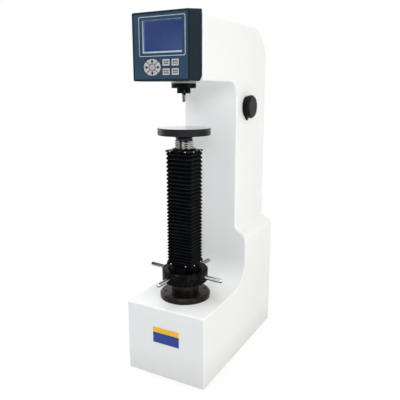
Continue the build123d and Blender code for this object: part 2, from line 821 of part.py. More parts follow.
def main_lever():
    """Load lever: a tapered beam with its pin, the weights' pin and two pads for the spindle."""
    half, z = lever_half_width, lever_height
    nose, tail = fulcrum_y - lever_ends[0], hang_y + lever_ends[1]
    points = [(nose, z - lever_under), (tail, z - lever_tip), (tail, z + lever_tip),
              (lever_crest, z + lever_over), (nose, z + lever_over)]
    beam = across(make_face(Polyline(*points, close=True)), half)
    start, rest, below, above = lever_window
    beam = beam - block(-half - past, half + past, start, hang_y - rest, z - below, z + above)
    pad_radius, pad_drop = lever_pad
    pads = bar_x(pad_radius, -half, half, 0, z - lever_under - pad_drop + pad_radius)
    reach = half + lever_pin_reach
    pins = [bar_x(lever_pin, -reach, reach, fulcrum_y, z),
            bar_x(lever_end_pin, -half - lever_end_reach, half + lever_end_reach, hang_y, z)]
    room = pillar(plunger[0] + plunger_room, z - lever_under - pad_drop - past, z + lever_over + past)
    return beam + pads + pins - room


def weight_hanger():
    """Hanger: two eyes on the lever's end pin, a rod, a foot plate and the dashpot's piston."""
    gap, thick, half_depth = hanger_ear
    inner, outer = lever_half_width + gap, lever_half_width + gap + thick
    front_side, back_side = hang_y - half_depth, hang_y + half_depth
    bottom = lever_height - hanger_drop
    slot = lever_end_pin + hanger_slot
    eye = block(-outer - past, outer + past, hang_y - slot, hang_y + slot,
                lever_height - slot, lever_height + lever_end_pin + seat_gap)
    ears = [block(x, x + thick, front_side, back_side, bottom, hanger_top) - eye for x in (-outer, inner)]
    yoke = block(-outer, outer, front_side, back_side, bottom, bottom + hanger_yoke)
    disc_radius, foot_thick = hanger_foot
    foot_low = weight_foot - foot_thick
    rod = pillar(hanger_rod, foot_low, bottom, 0, hang_y)
    foot = pillar(disc_radius, foot_low, weight_foot, 0, hang_y)
    height, rise, play = piston
    piston_low = shelf_top + rise
    stem = pillar(piston_rod, piston_low, foot_low, 0, hang_y)
    disc = pillar(dashpot_radius - dashpot_wall - play, piston_low, piston_low + height, 0, hang_y)
    return ears[0] + ears[1] + yoke + rod + foot + stem + disc


def load_weights():
    """Slotted discs stacked on the hanger's foot."""
    discs = []
    for step in range(weight_count):
        low = weight_foot + step * weight_height
        disc = pillar(weight_radius, low, low + weight_height, 0, hang_y)
        disc = chamfer(disc.edges(), weight_edge)
        discs.append(disc - pillar(hanger_rod + slip, low - past, low + weight_height + past, 0, hang_y))
    return group(discs)


def dashpot():
    """Oil dashpot on the shelf that slows the weights."""
    case = pillar(dashpot_radius, shelf_top, dashpot_top, 0, hang_y)
    lid = dashpot_top - dashpot_wall
    room = pillar(dashpot_radius - dashpot_wall, shelf_top + dashpot_wall, lid, 0, hang_y)
    return case - room - pillar(piston_rod + seat_gap, lid - past, dashpot_top + past, 0, hang_y)


def loading_motor():
    """Gear motor on the shelf, with the bore of its output shaft."""
    cam_gap, wall_gap, half_depth, rise, corner = motor
    shaft_radius, shaft_length = cam_shaft
    left = load_cam_side + load_cam[2] + cam_gap
    case = block(left, column_side - wall_gap, hang_y - half_depth, hang_y + half_depth, shelf_top,
                 load_cam_height + rise)
    case = fillet(case.edges().filter_by(Axis.X), corner)
    return case - bar_x(shaft_radius + running, left - past, left + shaft_length, hang_y, load_cam_height)


def load_cam_part():
    """Cam that lifts and lowers the weights, on its shaft."""
    radius, throw, thick = load_cam
    shaft_radius, shaft_length = cam_shaft
    x0 = load_cam_side
    disc = bar_x(radius, x0, x0 + thick, hang_y, load_cam_height - throw)
    shaft = bar_x(shaft_radius, x0, x0 + thick + shaft_length, hang_y, load_cam_height)
    return disc + shaft


def power_supply():
    """Power supply on the floor behind the lead screw."""
    side, middle, ahead, behind, height = supply
    left, right = wall + side - half_base, -middle
    near, far = throat + ahead, rear_inside - behind
    margin, first, pitch, width = supply_slot
    top = floor_top + height
    case = fillet(block(left, right, near, far, floor_top, top).edges().filter_by(Axis.Z), supply_corner)
    slots = []
    y = near + first
    while y + width + margin < far:
        slots.append(block(left + margin, right - margin, y, y + width, top - margin, top + past))
        y += pitch
    return case - slots


def load_dial():
    """Pointer plate of the load selector: a disc with a point below."""
    lift = degrees(asin(dial_radius / dial_pointer))
    touch = (dial_radius * cos(radians(lift)), -dial_radius * sin(radians(lift)))
    disc = Circle(dial_radius)
    point = make_face(Polyline((0, -dial_pointer), touch, (0, 0), (-touch[0], touch[1]), close=True))
    plate = Location((half_column, selector_y, selector_z)) * (Plane.YZ * (disc + point))
    plate = extrude(plate, dial_sheet)
    return plate - bar_x(selector_shaft + running, half_column - past, half_column + dial_sheet + past,
                         selector_y, selector_z)


def selector_shaft_part():
    """Shaft across the column with the two arms that catch the weights."""
    gap, thick, hub_radius, half_arm, hook_depth = fork
    left = -column_side - wall / 2 + seat_gap
    right = half_column + dial_sheet + knob_gap + knob_sink
    shaft = bar_x(selector_shaft, left, right, selector_y, selector_z)
    arms = []
    for x0 in (gap - column_side, column_side - gap - thick):
        tip = selector_z - fork_length
        hub = bar_x(hub_radius, x0, x0 + thick, selector_y, selector_z)
        arm = block(x0, x0 + thick, selector_y - half_arm, selector_y + half_arm, tip, selector_z)
        hook = block(x0, x0 + thick, selector_y - half_arm, selector_y + hook_depth, tip - thick, tip)
        arms.append(hub + arm + hook)
    return shaft + arms


def load_knob():
    """Round knob of the load selector."""
    low = half_column + dial_sheet + knob_gap
    face = make_face(Polyline((0, knob_height), (knob_radius - knob_edge, knob_height),
                              (knob_radius, knob_height - knob_edge), (knob_radius, knob_base_edge),
                              (knob_radius - knob_base_edge, 0),
                              (0, 0), close=True))
    knob = revolve(Plane.XZ * face, Axis.Z)
    knob = Pos(low, selector_y, selector_z) * Rot(0, 90, 0) * knob
    return knob - bar_x(selector_shaft + slip, low - past, low + knob_sink + slip, selector_y, selector_z)


def display_outline(inset=0.0):
    """Side of the display box: a wedge with its lower back corner cut off."""
    back = -head_reach
    cut_y, cut_z = display_chamfer
    points = [(display_face, display_low), (display_face, display_low + display_height),
              (back, display_low + display_height + display_wedge), (back, display_low + cut_z),
              (back - cut_y, display_low)]
    face = make_face(Polyline(*points, close=True))
    return offset(face, -inset, kind=Kind.INTERSECTION) if inset else face


def display_housing():
    """Display box, open at the front, with a cable hole in its back."""
    half = display_width / 2
    box = across(display_outline(), half)
    long_edges = [edge for edge in box.edges() if abs(edge.tangent_at(0.5).Y) > 0.9]
    box = fillet(long_edges, display_corner)
    room = across(display_outline(display_wall), half - display_wall)
    half_panel = half - panel_margin
    mouth = block(-half_panel, half_panel, display_face - past, display_face + panel_sheet,
                  display_low + panel_margin, display_low + display_height - panel_margin)
    side, end, depth = display_lip
    throat_hole = block(side - half, half - side, display_face, display_face + depth,
                        display_low + end, display_low + display_height - end)
    cable = bar_y(cable_hole, -head_reach - display_wall - past, -head_reach + past, 0, cable_height)
    return box - room - mouth - throat_hole - cable


def xz_block(low, high, y0, y1):
    """Box from two (x, z) corners and its front and back."""
    return block(low[0], high[0], y0, y1, low[1], high[1])


def square_key_places():
    """Centres of the four square keys, row by row."""
    return [(x, z) for z in square_key_rows for x in square_key_columns]


def pad_frame(y):
    """Plane of the round key pad at a depth, seen from the front."""
    return Plane(origin=(pad_centre[0], y, pad_centre[1]), x_dir=(1, 0, 0), z_dir=(0, -1, 0))


def display_panel():
    """Face panel with its window and the holes for the keys."""
    half = display_width / 2 - panel_margin - slip
    low = (-half, display_low + panel_margin + slip)
    high = (half, display_low + display_height - panel_margin - slip)
    panel = xz_block(low, high, display_face, display_face + panel_sheet)
    panel = fillet(panel.edges().filter_by(Axis.Y), display_corner - 1)
    near, far = display_face - past, display_face + panel_sheet + past
    window = xz_block(screen_low, screen_high, near, far)
    window = fillet(window.edges().filter_by(Axis.Y), 2)
    pad_outline = Ellipse(pad_radii[0] + key_gap, pad_radii[1] + key_gap)
    pad_hole = extrude(pad_frame(near) * pad_outline, near - far)
    holes = []
    for x, z in square_key_places():
        hole = xz_block((x - square_key[0] / 2 - key_gap, z - square_key[1] / 2 - key_gap),
                        (x + square_key[0] / 2 + key_gap, z + square_key[1] / 2 + key_gap), near, far)
        holes.append(fillet(hole.edges().filter_by(Axis.Y), square_key_corner + key_gap))
    return panel - window - pad_hole - holes


def display_lens():
    """Clear window in the face panel."""
    gap = slip
    lens = xz_block((screen_low[0] + gap, screen_low[1] + gap), (screen_high[0] - gap, screen_high[1] - gap),
                    display_face + 0.1, display_face + 0.1 + lens_sheet)
    return fillet(lens.edges().filter_by(Axis.Y), screen_corner)


def screen_opening():
    """Corners of the part of the screen that shows inside its lip."""
    left, bottom, right, top = screen_lip
    return (screen_low[0] + left, screen_low[1] + bottom), (screen_high[0] - right, screen_high[1] - top)


def screen_bezel():
    """Sloping bright lip round the screen."""
    near = display_face + 0.1 + lens_sheet
    far = display_face + screen_depth
    body_low = (screen_low[0] + slip, screen_low[1] + slip)
    body_high = (screen_high[0] - slip, screen_high[1] - slip)
    body = xz_block(body_low, body_high, near, far)
    body = fillet(body.edges().filter_by(Axis.Y), screen_corner)
    low, high = screen_opening()
    wide_low = (screen_low[0] + screen_slope[0], screen_low[1] + screen_slope[0])
    wide_high = (screen_high[0] - screen_slope[1], screen_high[1] - screen_slope[1])
    ends = []
    for (a, b), y in (((wide_low, wide_high), near), ((low, high), far)):
        centre = ((a[0] + b[0]) / 2, y, (a[1] + b[1]) / 2)
        plane = Plane(origin=centre, x_dir=(1, 0, 0), z_dir=(0, -1, 0))
        ends.append(plane * Rectangle(b[0] - a[0], b[1] - a[1]))
    return body - loft(ends)


def lcd_module():
    """Screen module behind the lip."""
    beyond, thick = lcd
    low = (screen_low[0] - beyond, screen_low[1] - beyond)
    high = (screen_high[0] + beyond, screen_high[1] + beyond)
    near = display_face + screen_depth
    return xz_block(low, high, near, near + thick)


def key_board():
    """Circuit board behind the keys."""
    near = display_face + panel_sheet + key_stem + key_travel + running
    half, below, above, thick = board
    low, high = display_low + below, screen_low[1] - above
    sheet = xz_block((-half, low), (half, high), near, near + thick)
    radius, side, edge = standoff
    standoffs = [bar_y(radius, display_face + panel_sheet, near, x, z)
                 for x in (side - half, half - side) for z in (low + edge, high - edge)]
    return sheet + standoffs


def key_plunger(x, z):
    """Stem behind a key."""
    near = display_face + panel_sheet
    return bar_y(key_stem_radius, near, near + key_stem, x, z)


def pad_ring_key(heading):
    """One of the four arrow keys: a quarter of the ring, cut along the diagonals."""
    near = display_face - key_proud
    ring = Ellipse(*pad_radii) - Ellipse(pad_middle[0] + pad_split, pad_middle[1] + pad_split)
    slant = degrees(pad_slant())
    reach = 2 * pad_radii[0]
    bar = Rectangle(reach, pad_split)
    bars = bar.rotate(Axis.Z, slant) + bar.rotate(Axis.Z, -slant)
    pieces = (ring - bars).faces()
    wanted = Vector(cos(radians(heading)) * pad_radii[0], sin(radians(heading)) * pad_radii[1])
    piece = min(pieces, key=lambda face: (face.center() - wanted).length)
    cap = extrude(pad_frame(near) * piece, -(key_proud + panel_sheet))
    share = 0.5 * (pad_radii[0] + pad_middle[0] + pad_split) / pad_radii[0]
    x = pad_centre[0] + wanted.X * share
    z = pad_centre[1] + wanted.Y * share
    return cap + key_plunger(x, z)


def pad_slant():
    """Slope of the pad's diagonals."""
    return asin(pad_radii[1] / (pad_radii[0] ** 2 + pad_radii[1] ** 2) ** 0.5)


def pad_middle_key():
    """Key in the middle of the pad."""
    near = display_face - key_proud
    cap = extrude(pad_frame(near) * Ellipse(*pad_middle), -(key_proud + panel_sheet))
    return cap + key_plunger(*pad_centre)


def square_key_part(x, z):
    """One square key with rounded corners."""
    wide, high = square_key
    cap = xz_block((x - wide / 2, z - high / 2), (x + wide / 2, z + high / 2), display_face - key_proud,
                   display_face + panel_sheet)
    cap = fillet(cap.edges().filter_by(Axis.Y), square_key_corner)
    return cap + key_plunger(x, z)


def inlet_cuts():
    """Mouths of the power inlet: the socket below and the rocker's pocket above."""
    outside = rear + cover_sheet + inlet_flange[2]
    wide, high, deep = socket_size
    z = inlet_z - socket_drop
    socket = block(inlet_x - wide / 2, inlet_x + wide / 2, outside - deep, outside + past,
                   z - high / 2, z + high / 2)
    rock_x, rock_z, _ = rocker_size
    pocket = block(inlet_x - rock_x / 2 - seat_gap, inlet_x + rock_x / 2 + seat_gap, outside - rocker_pocket,
                   outside + past, inlet_z + rocker_rise - rock_z / 2 - past,
                   inlet_z + rocker_rise + rock_z / 2 + past)
    return socket, pocket


def power_inlet():
    """Power inlet with its socket, three pins and the switch's pocket."""
    wide, high, deep = inlet_body
    plate = rear + cover_sheet
    body = block(inlet_x - wide / 2, inlet_x + wide / 2, plate - deep, plate,
                 inlet_z - high / 2, inlet_z + high / 2)
    flange_x, flange_z, thick = inlet_flange
    flange = block(inlet_x - flange_x / 2, inlet_x + flange_x / 2, plate, plate + thick,
                   inlet_z - flange_z / 2, inlet_z + flange_z / 2)
    flange = fillet(flange.edges().filter_by(Axis.Y), 3)
    socket, pocket = inlet_cuts()
    bottom = plate + thick - socket_size[2]
    z = inlet_z - socket_drop
    half_x, half_z, reach = socket_pin
    pins = [block(inlet_x + x - half_x, inlet_x + x + half_x, bottom - past, bottom + reach,
                  z - half_z + rise, z + half_z + rise) for x, rise in ((-7, -0.5), (0, 1.5), (7, -0.5))]
    reach = rocker_size[0] / 2 + rocker_pin[1] + seat_gap
    pivots = bar_x(rocker_pin[0] + running, inlet_x - reach, inlet_x + reach, plate + thick - rocker_sink,
                   inlet_z + rocker_rise)
    return body + flange - socket - pocket - pivots + pins


def power_rocker():
    """Rocker of the power switch, pressed in at its lower end."""
    wide, high, deep = rocker_size
    z = inlet_z + rocker_rise
    pivot_y = rear + cover_sheet + inlet_flange[2] - rocker_sink
    half = high / 2
    points = [(-deep * 0.8, -2.5), (-deep * 0.8, 2.5), (-1, half), (3.6, half), (2.2, 0), (3.6, -half),
              (-1, -half)]
    face = make_face(Polyline(*points, close=True))
    reach = wide / 2 + rocker_pin[1]
    rocker = across(face, wide / 2) + bar_x(rocker_pin[0], -reach, reach, 0, 0)
    return Pos(inlet_x, pivot_y, z) * Rot(-rocker_tilt, 0, 0) * rocker


def data_port():
    """Nine-pin data port."""
    outside = rear + cover_sheet
    half_x, half_z, depth, proud, corner = port
    shell = block(port_x - half_x, port_x + half_x, outside - depth, outside + proud, inlet_z - half_z,
                  inlet_z + half_z)
    shell = fillet(shell.edges().filter_by(Axis.Y), corner)
    flange_x, flange_z, thick = port_flange
    flange = block(port_x - flange_x, port_x + flange_x, outside, outside + thick, inlet_z - flange_z,
                   inlet_z + flange_z)
    return shell + flange


parts = {
    "frame_body": frame_body(),
    "feet": feet(),
    "upper_rear_cover": rear_cover(upper_door),
    "lower_rear_cover": lower_rear_cover(),
    "top_cover": top_cover(),
    "cover_screws": cover_screws(),
    "front_plate": front_plate(),
    "screw_base": screw_base(),
    "guide_key": guide_key(),
    "flange_screws": flange_screws(),
    "thrust_bearing": thrust_bearing(),
    "capstan_ring": capstan_ring(),
    "capstan_spokes": capstan_spokes(),
    "lead_nut": lead_nut(),
    "lead_screw": lead_screw(),
    "work_table": work_table(),
    "bellows": bellows(),
    "bellows_base": bellows_base(),
    "bellows_skirt": bellows_skirt(),
    "bellows_cap": bellows_cap(),
    "nose_plate": nose_plate_part(),
    "nose_flange": nose_flange_part(),
    "nose_guard": nose_guard(),
    "spindle_bush": spindle_bush(),
    "spindle": spindle(),
    "indenter": indenter(),
    "clamp_screw": clamp_screw(),
    "fulcrum_block": fulcrum_block(),
    "depth_sensor": depth_sensor(),
    "sensor_plunger": sensor_plunger(),
    "main_lever": main_lever(),
    "weight_hanger": weight_hanger(),
    "load_weights": load_weights(),
    "dashpot": dashpot(),
    "loading_motor": loading_motor(),
    "load_cam": load_cam_part(),
    "power_supply": power_supply(),
    "load_dial": load_dial(),
    "selector_shaft": selector_shaft_part(),
    "load_knob": load_knob(),
    "display_housing": display_housing(),
    "display_panel": display_panel(),
    "display_lens": display_lens(),
    "screen_bezel": screen_bezel(),
    "lcd_module": lcd_module(),
    "key_board": key_board(),
    "right_key": pad_ring_key(0),
    "up_key": pad_ring_key(90),
    "left_key": pad_ring_key(180),
    "down_key": pad_ring_key(270),
    "middle_key": pad_middle_key(),
    "power_inlet": power_inlet(),
    "power_rocker": power_rocker(),
    "data_port": data_port(),
}
for number, (x, z) in enumerate(square_key_places(), 1):
    parts[f"square_key_{number}"] = square_key_part(x, z)

for name, part in parts.items():
    export_step(part, f"parts/{name}.step")
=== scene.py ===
"""Bench hardness tester: finishes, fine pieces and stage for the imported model."""

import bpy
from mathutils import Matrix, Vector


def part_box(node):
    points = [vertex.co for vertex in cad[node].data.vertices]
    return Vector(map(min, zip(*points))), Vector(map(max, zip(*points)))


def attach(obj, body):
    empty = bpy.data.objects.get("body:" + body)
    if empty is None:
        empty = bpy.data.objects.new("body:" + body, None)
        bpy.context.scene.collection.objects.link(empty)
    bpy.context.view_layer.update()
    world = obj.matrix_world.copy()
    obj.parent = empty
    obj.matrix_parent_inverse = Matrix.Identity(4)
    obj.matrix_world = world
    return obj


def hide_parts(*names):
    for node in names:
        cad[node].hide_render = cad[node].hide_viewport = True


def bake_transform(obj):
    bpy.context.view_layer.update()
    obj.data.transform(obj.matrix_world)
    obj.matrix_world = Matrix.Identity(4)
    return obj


bl_info = {
    "name": "Bench hardness tester",
    "version": (1, 0, 0),
    "blender": (4, 5, 0),
    "location": "3D View > Sidebar > Tester",
    "description": "Dresses the packed hardness tester and sets its stage",
    "category": "Object",
}

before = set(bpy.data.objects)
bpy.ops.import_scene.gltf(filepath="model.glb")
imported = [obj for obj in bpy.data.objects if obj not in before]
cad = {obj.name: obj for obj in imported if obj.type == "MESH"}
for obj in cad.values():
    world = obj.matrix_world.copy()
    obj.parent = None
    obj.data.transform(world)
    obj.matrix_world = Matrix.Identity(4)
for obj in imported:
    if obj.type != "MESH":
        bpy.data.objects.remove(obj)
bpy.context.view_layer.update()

from math import asin, cos, floor, hypot, pi, radians, sin

import bmesh
import bpy
from bpy.props import FloatProperty, FloatVectorProperty, IntProperty, PointerProperty
from bpy.types import Operator, Panel, PropertyGroup
from mathutils import Euler, Matrix, Vector, noise

finishes = {}
mm = 0.001
to_front, to_rear, to_top = (0, -1, 0), (0, 1, 0), (0, 0, 1)
to_right, to_left = (1, 0, 0), (-1, 0, 0)


def paint(red, green, blue):
    """Linear colour from the 0 to 255 values that a paint shop would give."""
    values = []
    for part in (red, green, blue):
        c = part / 255.0
        values.append(c / 12.92 if c <= 0.04045 else ((c + 0.055) / 1.055) ** 2.4)
    return tuple(values)


def shade(colour, share):
    """The same colour, darker or lighter."""
    return tuple(c * share for c in colour)


# Finishes
soft_edge = (0.42, 0.44, 0.46, 1.0)     # edge tint of the black finishes


class NodeSet:
    """Nodes of a material or of the world, with short calls that add and link them."""

    def __init__(self, tree):
        self.nodes = tree.nodes
        self.links = tree.links

    def put(self, socket, value):
        """Links an output to a socket, or sets the socket to a plain value."""
        if isinstance(value, bpy.types.NodeSocket):
            self.links.new(value, socket)
        else:
            socket.default_value = value

    def node(self, kind, inputs=None, **options):
        """Adds a node, sets it and fills its inputs."""
        made = self.nodes.new("ShaderNode" + kind)
        for key, value in options.items():
            setattr(made, key, value)
        for key, value in (inputs or {}).items():
            self.put(made.inputs[key], value)
        return made

    def math(self, how, first, second, **options):
        """One number from two."""
        return self.node("Math", {0: first, 1: second}, operation=how, **options).outputs[0]

    def mix(self, factor, first, second, how="MIX"):
        """Mixes two colours by a factor."""
        return self.node("Mix", {0: factor, 6: first, 7: second}, data_type="RGBA", blend_type=how,
                         clamp_factor=True).outputs[2]

    def ramp(self, factor, low, high, end):
        """Colour that runs from one to another as a factor rises to its end."""
        made = self.node("ValToRGB", {"Fac": factor})
        first, last = made.color_ramp.elements
        first.color = (*low, 1.0)
        last.color = (*high, 1.0)
        last.position = end
        return made.outputs[0]

    def white_rays(self):
        """1 for rays from the camera, a reflection or a clear piece, and 0 for the rest."""
        rays = self.node("LightPath").outputs
        either = self.math("MAXIMUM", rays["Is Camera Ray"], rays["Is Glossy Ray"])
        return self.math("MAXIMUM", either, rays["Is Transmission Ray"])


class Finish(NodeSet):
    """One material, with short calls for the nodes that give it its detail."""

    def __init__(self, name, colour, roughness, metallic=0.0, **sockets):
        self.material = bpy.data.materials.new(name)
        self.material.use_nodes = True
        super().__init__(self.material.node_tree)
        self.shader = self.nodes["Principled BSDF"]
        self.colour = (*colour, 1.0)
        plain = {"Base_Color": self.colour, "Roughness": roughness, "Metallic": metallic, **sockets}
        for socket, value in plain.items():
            self.shader.inputs[socket.replace("_", " ")].default_value = value
        self.place = self.node("TexCoord").outputs["Object"]
        self.normal = None

    def stretched(self, x, y, z, turn=(0.0, 0.0, 0.0)):
        """Coordinates scaled along each axis, for brushed and drawn surfaces."""
        return self.node("Mapping", {"Vector": self.place, "Scale": (x, y, z), "Rotation": turn}).outputs[0]

    def grain(self, scale, detail=3.0, rough=0.5, place=None):
        """Soft noise, from 0 to 1."""
        inputs = {"Vector": place or self.place, "Scale": scale, "Detail": detail, "Roughness": rough}
        return self.node("TexNoise", inputs).outputs["Fac"]

    def cells(self, scale, feature="F1"):
        """Distance to scattered points, for speckle and pebble."""
        inputs = {"Vector": self.place, "Scale": scale}
        return self.node("TexVoronoi", inputs, feature=feature).outputs["Distance"]

    def rings(self, scale, axis="Z", warp=0.0, detail=0.0):
        """Turning marks round an axis."""
        inputs = {"Vector": self.place, "Scale": scale, "Distortion": warp, "Detail": detail}
        return self.node("TexWave", inputs, wave_type="RINGS", rings_direction=axis).outputs["Fac"]

    def bands(self, scale, axis):
        """Even stripes across an axis."""
        inputs = {"Vector": self.place, "Scale": scale}
        return self.node("TexWave", inputs, wave_type="BANDS", bands_direction=axis).outputs["Fac"]

    def spread(self, factor, low, high, start=0.0, end=1.0):
        """Carries a factor from one range to another."""
        inputs = {"Value": factor, "From Min": start, "From Max": end, "To Min": low, "To Max": high}
        return self.node("MapRange", inputs).outputs["Result"]

    def height(self, start, end):
        """0 at one height above the floor and 1 at another."""
        z = self.node("SeparateXYZ", {"Vector": self.place}).outputs["Z"]
        return self.spread(z, 0.0, 1.0, start, end)

    def tint(self, factor, other):
        """Moves the base colour towards another one where the factor is high."""
        source = self.shader.inputs["Base Color"]
        now = source.links[0].from_socket if source.is_linked else self.colour
        self.links.new(self.mix(factor, now, (*other, 1.0)), source)

    def patches(self, other, scale, detail, most, start, end, rough=0.5):
        """Soft patches of another colour, where noise lies between start and end."""
        self.tint(self.spread(self.grain(scale, detail, rough), 0.0, most, start, end), other)

    def relief(self, height, depth, strength):
        """Adds a bump of that depth in metres."""
        inputs = {"Height": height, "Strength": strength, "Distance": depth}
        if self.normal is not None:
            inputs["Normal"] = self.normal
        self.normal = self.node("Bump", inputs).outputs["Normal"]
        self.links.new(self.normal, self.shader.inputs["Normal"])

    def pebble(self, scale, detail, depth, strength):
        """Adds small even bumps of that depth in metres."""
        self.relief(self.grain(scale, detail), depth, strength)

    def sheen(self, factor, low, high):
        """Roughness between two values by a factor; gives the finished material."""
        self.links.new(self.spread(factor, low, high), self.shader.inputs["Roughness"])
        return self.material

    def gloss(self, scale, detail, low, high):
        """Roughness that wanders between two values; gives the finished material."""
        return self.sheen(self.grain(scale, detail), low, high)


def enamel_white(colour):
    """Stove enamel: faint orange peel, a soft gloss and a brownish darkening towards the bottom."""
    f = Finish("stove_enamel_white", colour, 0.42, Coat_Weight=0.15, Coat_Roughness=0.22,
               Specular_IOR_Level=0.3)
    f.pebble(420.0, 2.0, 0.00012, 0.25)
    f.pebble(6.0, 2.0, 0.0006, 0.12)
    f.patches(shade(colour, 0.93), 3.2, 4.0, 0.35, 0.4, 0.9)
    # darker and browner from 90 mm above the floor down to 10 mm
    f.tint(f.spread(f.height(0.09, 0.010), 0.0, 0.22), (0.45, 0.42, 0.36))
    return f.gloss(9.0, 3.0, 0.36, 0.5)


def plain_paint(name, colour, roughness):
    """Sprayed paint with a fine texture."""
    f = Finish(name, colour, roughness, Coat_Weight=0.1)
    f.pebble(900.0, 2.0, 0.00008, 0.4)
    f.patches(shade(colour, 0.8), 30.0, 3.0, 0.5, 0.35, 0.8)
    return f.gloss(60.0, 2.0, roughness - 0.06, roughness + 0.08)


def cast_speckle(name, colour, fleck):
    """Black finish on a cast or turned piece, with light flecks: partly scuffed spots, partly painted glints.
    """
    f = Finish(name, colour, 0.42, 0.55, Specular_IOR_Level=0.12, Specular_Tint=soft_edge)
    spots = f.spread(f.cells(380.0), 1.0, 0.0, 0.05, 0.32)
    scuff_and_glint_patches = f.spread(f.grain(45.0), 0.0, 1.0, 0.48, 0.72)
    # light flecks where spots and patches meet: scuffs and painted glints of reflected light
    f.tint(f.math("MULTIPLY", spots, scuff_and_glint_patches), fleck)
    f.pebble(500.0, 3.0, 0.00015, 0.5)
    f.relief(f.rings(420.0), 0.00004, 0.4)
    return f.gloss(38.0, 3.0, 0.16, 0.4)


def turned_steel(name, colour, roughness, marks=900.0, axis="Z", stain_and_reflection=None):
    """Bare steel with turning marks round an axis and faint stains; a dark colour, when given, makes the
    stains and long upright bands of painted reflection.
    """
    f = Finish(name, colour, roughness, 1.0, Anisotropic=0.3)
    f.relief(f.rings(marks, axis, 1.5, 2.0), 0.00002, 0.5)
    f.patches(stain_and_reflection or shade(colour, 0.55), 26.0, 4.0, 0.6, 0.45, 0.8, rough=0.6)
    if stain_and_reflection:
        # long upright dark bands: painted reflection
        reflection_bands = f.grain(1.0, 2.0, 0.5, f.stretched(105.0, 105.0, 2.0))
        f.tint(f.spread(reflection_bands, 0.0, 1.0, 0.44, 0.56), stain_and_reflection)
    return f.gloss(90.0, 3.0, roughness - 0.05, roughness + 0.12)


def ground_steel(colour):
    """Surface-ground steel: fine straight scratches and a few dull patches."""
    f = Finish("ground_steel", colour, 0.24, 1.0)
    scratches = f.grain(1.0, 4.0, 0.65, f.stretched(18.0, 900.0, 900.0, (0.0, 0.0, 0.5)))
    f.relief(scratches, 0.00002, 0.55)
    f.patches(shade(colour, 0.5), 14.0, 4.0, 0.5, 0.5, 0.85, rough=0.6)
    return f.sheen(scratches, 0.16, 0.36)


def bright_chrome():
    """Polished chrome on bar stock: long dark streaks of painted reflection, and a light haze."""
    f = Finish("bright_chrome", paint(196, 198, 203), 0.09, 1.0)
    dark_reflection_streaks = f.grain(1.0, 1.0, 0.5, f.stretched(1.2, 1.2, 260.0))
    # dark streaks along the bar: painted reflection
    f.tint(f.spread(dark_reflection_streaks, 0.0, 1.0, 0.44, 0.6), paint(40, 42, 47))
    return f.gloss(70.0, 3.0, 0.06, 0.2)


def bellows_cloth(name, colour, wear_and_highlight):
    """Rubberised cloth: fine weave and paler patches; in lighter colours it makes the painted highlight on
    the pleats' ridges.
    """
    f = Finish(name, colour, 0.46, Specular_IOR_Level=0.03, Specular_Tint=soft_edge)
    f.relief(f.math("ADD", f.bands(900.0, "X"), f.bands(900.0, "Z")), 0.00005, 0.35)
    f.pebble(120.0, 3.0, 0.0004, 0.3)
    f.patches(wear_and_highlight, 42.0, 4.0, 0.7, 0.45, 0.8, rough=0.6)
    return f.gloss(60.0, 3.0, 0.38, 0.6)


def burnished_brown():
    """Burnished and oiled steel, dark brown, with paler patches of painted sheen and pale specks of painted
    glint.
    """
    f = Finish("burnished_brown", paint(30, 26, 26), 0.3, 0.7, Specular_IOR_Level=0.2)
    # paler brown patches: painted sheen
    f.patches(paint(52, 42, 36), 22.0, 4.0, 0.8, 0.4, 0.75, rough=0.6)
    # pale specks: painted glints
    f.tint(f.spread(f.cells(240.0), 0.5, 0.0, 0.02, 0.22), paint(120, 104, 98))
    f.relief(f.rings(480.0, "Z", 0.6, 1.0), 0.00005, 0.5)
    f.pebble(420.0, 2.0, 0.00008, 0.4)
    return f.gloss(40.0, 3.0, 0.14, 0.36)


def black_gloss(colour, roughness):
    """Moulded thermoset plastic with a polished skin."""
    f = Finish("black_gloss", colour, roughness, Specular_IOR_Level=0.08, Specular_Tint=soft_edge)
    f.pebble(35.0, 2.0, 0.0002, 0.1)
    f.patches(shade(colour, 2.2), 160.0, 2.0, 0.5, 0.5, 0.8)
    return f.gloss(50.0, 3.0, roughness - 0.04, roughness + 0.1)


def fine_plastic(name, colour, roughness=0.4, scale=900.0, depth=0.00002, gloss=0.3):
    """Moulded or printed plastic with a fine grain."""
    f = Finish(name, colour, roughness, Specular_IOR_Level=gloss)
    f.pebble(scale, 3.0, depth, 0.5)
    f.patches(shade(colour, 0.82), 20.0, 3.0, 0.5, 0.4, 0.8)
    return f.gloss(80.0, 2.0, roughness - 0.06, roughness + 0.08)


def panel_film(colour):
    """Printed film on the face panel, with the faint pebble of such film."""
    f = Finish("panel_film", colour, 0.38, Specular_IOR_Level=0.12)
    f.relief(f.cells(1500.0), 0.00004, 0.4)
    f.patches(shade(colour, 1.35), 9.0, 3.0, 0.8, 0.35, 0.75)
    return f.gloss(25.0, 2.0, 0.3, 0.42)


def lit_screen(colour, corner):
    """Backlit screen: a blue field that turns violet towards its lower right."""
    f = Finish("lit_screen", shade(colour, 0.2), 0.4, Specular_IOR_Level=0.08, Emission_Strength=0.7)
    axes = f.node("SeparateXYZ", {"Vector": f.place}).outputs
    right = f.spread(axes["X"], 0.0, 1.0, -0.03, 0.07)
    down = f.spread(axes["Z"], 1.0, 0.0, 0.93, 0.99)
    cloud = f.spread(f.grain(18.0, 2.0), -0.15, 0.15)
    both = f.math("ADD", f.math("MULTIPLY", right, down), cloud, use_clamp=True)
    glow = f.mix(both, (*colour, 1.0), (*corner, 1.0))
    across, upright = (f.spread(f.bands(1000.0, axis), 0.92, 1.0) for axis in "XZ")
    dots = f.math("MULTIPLY", across, upright)
    f.put(f.shader.inputs["Emission Color"], f.mix(1.0, glow, dots, "MULTIPLY"))
    return f.material


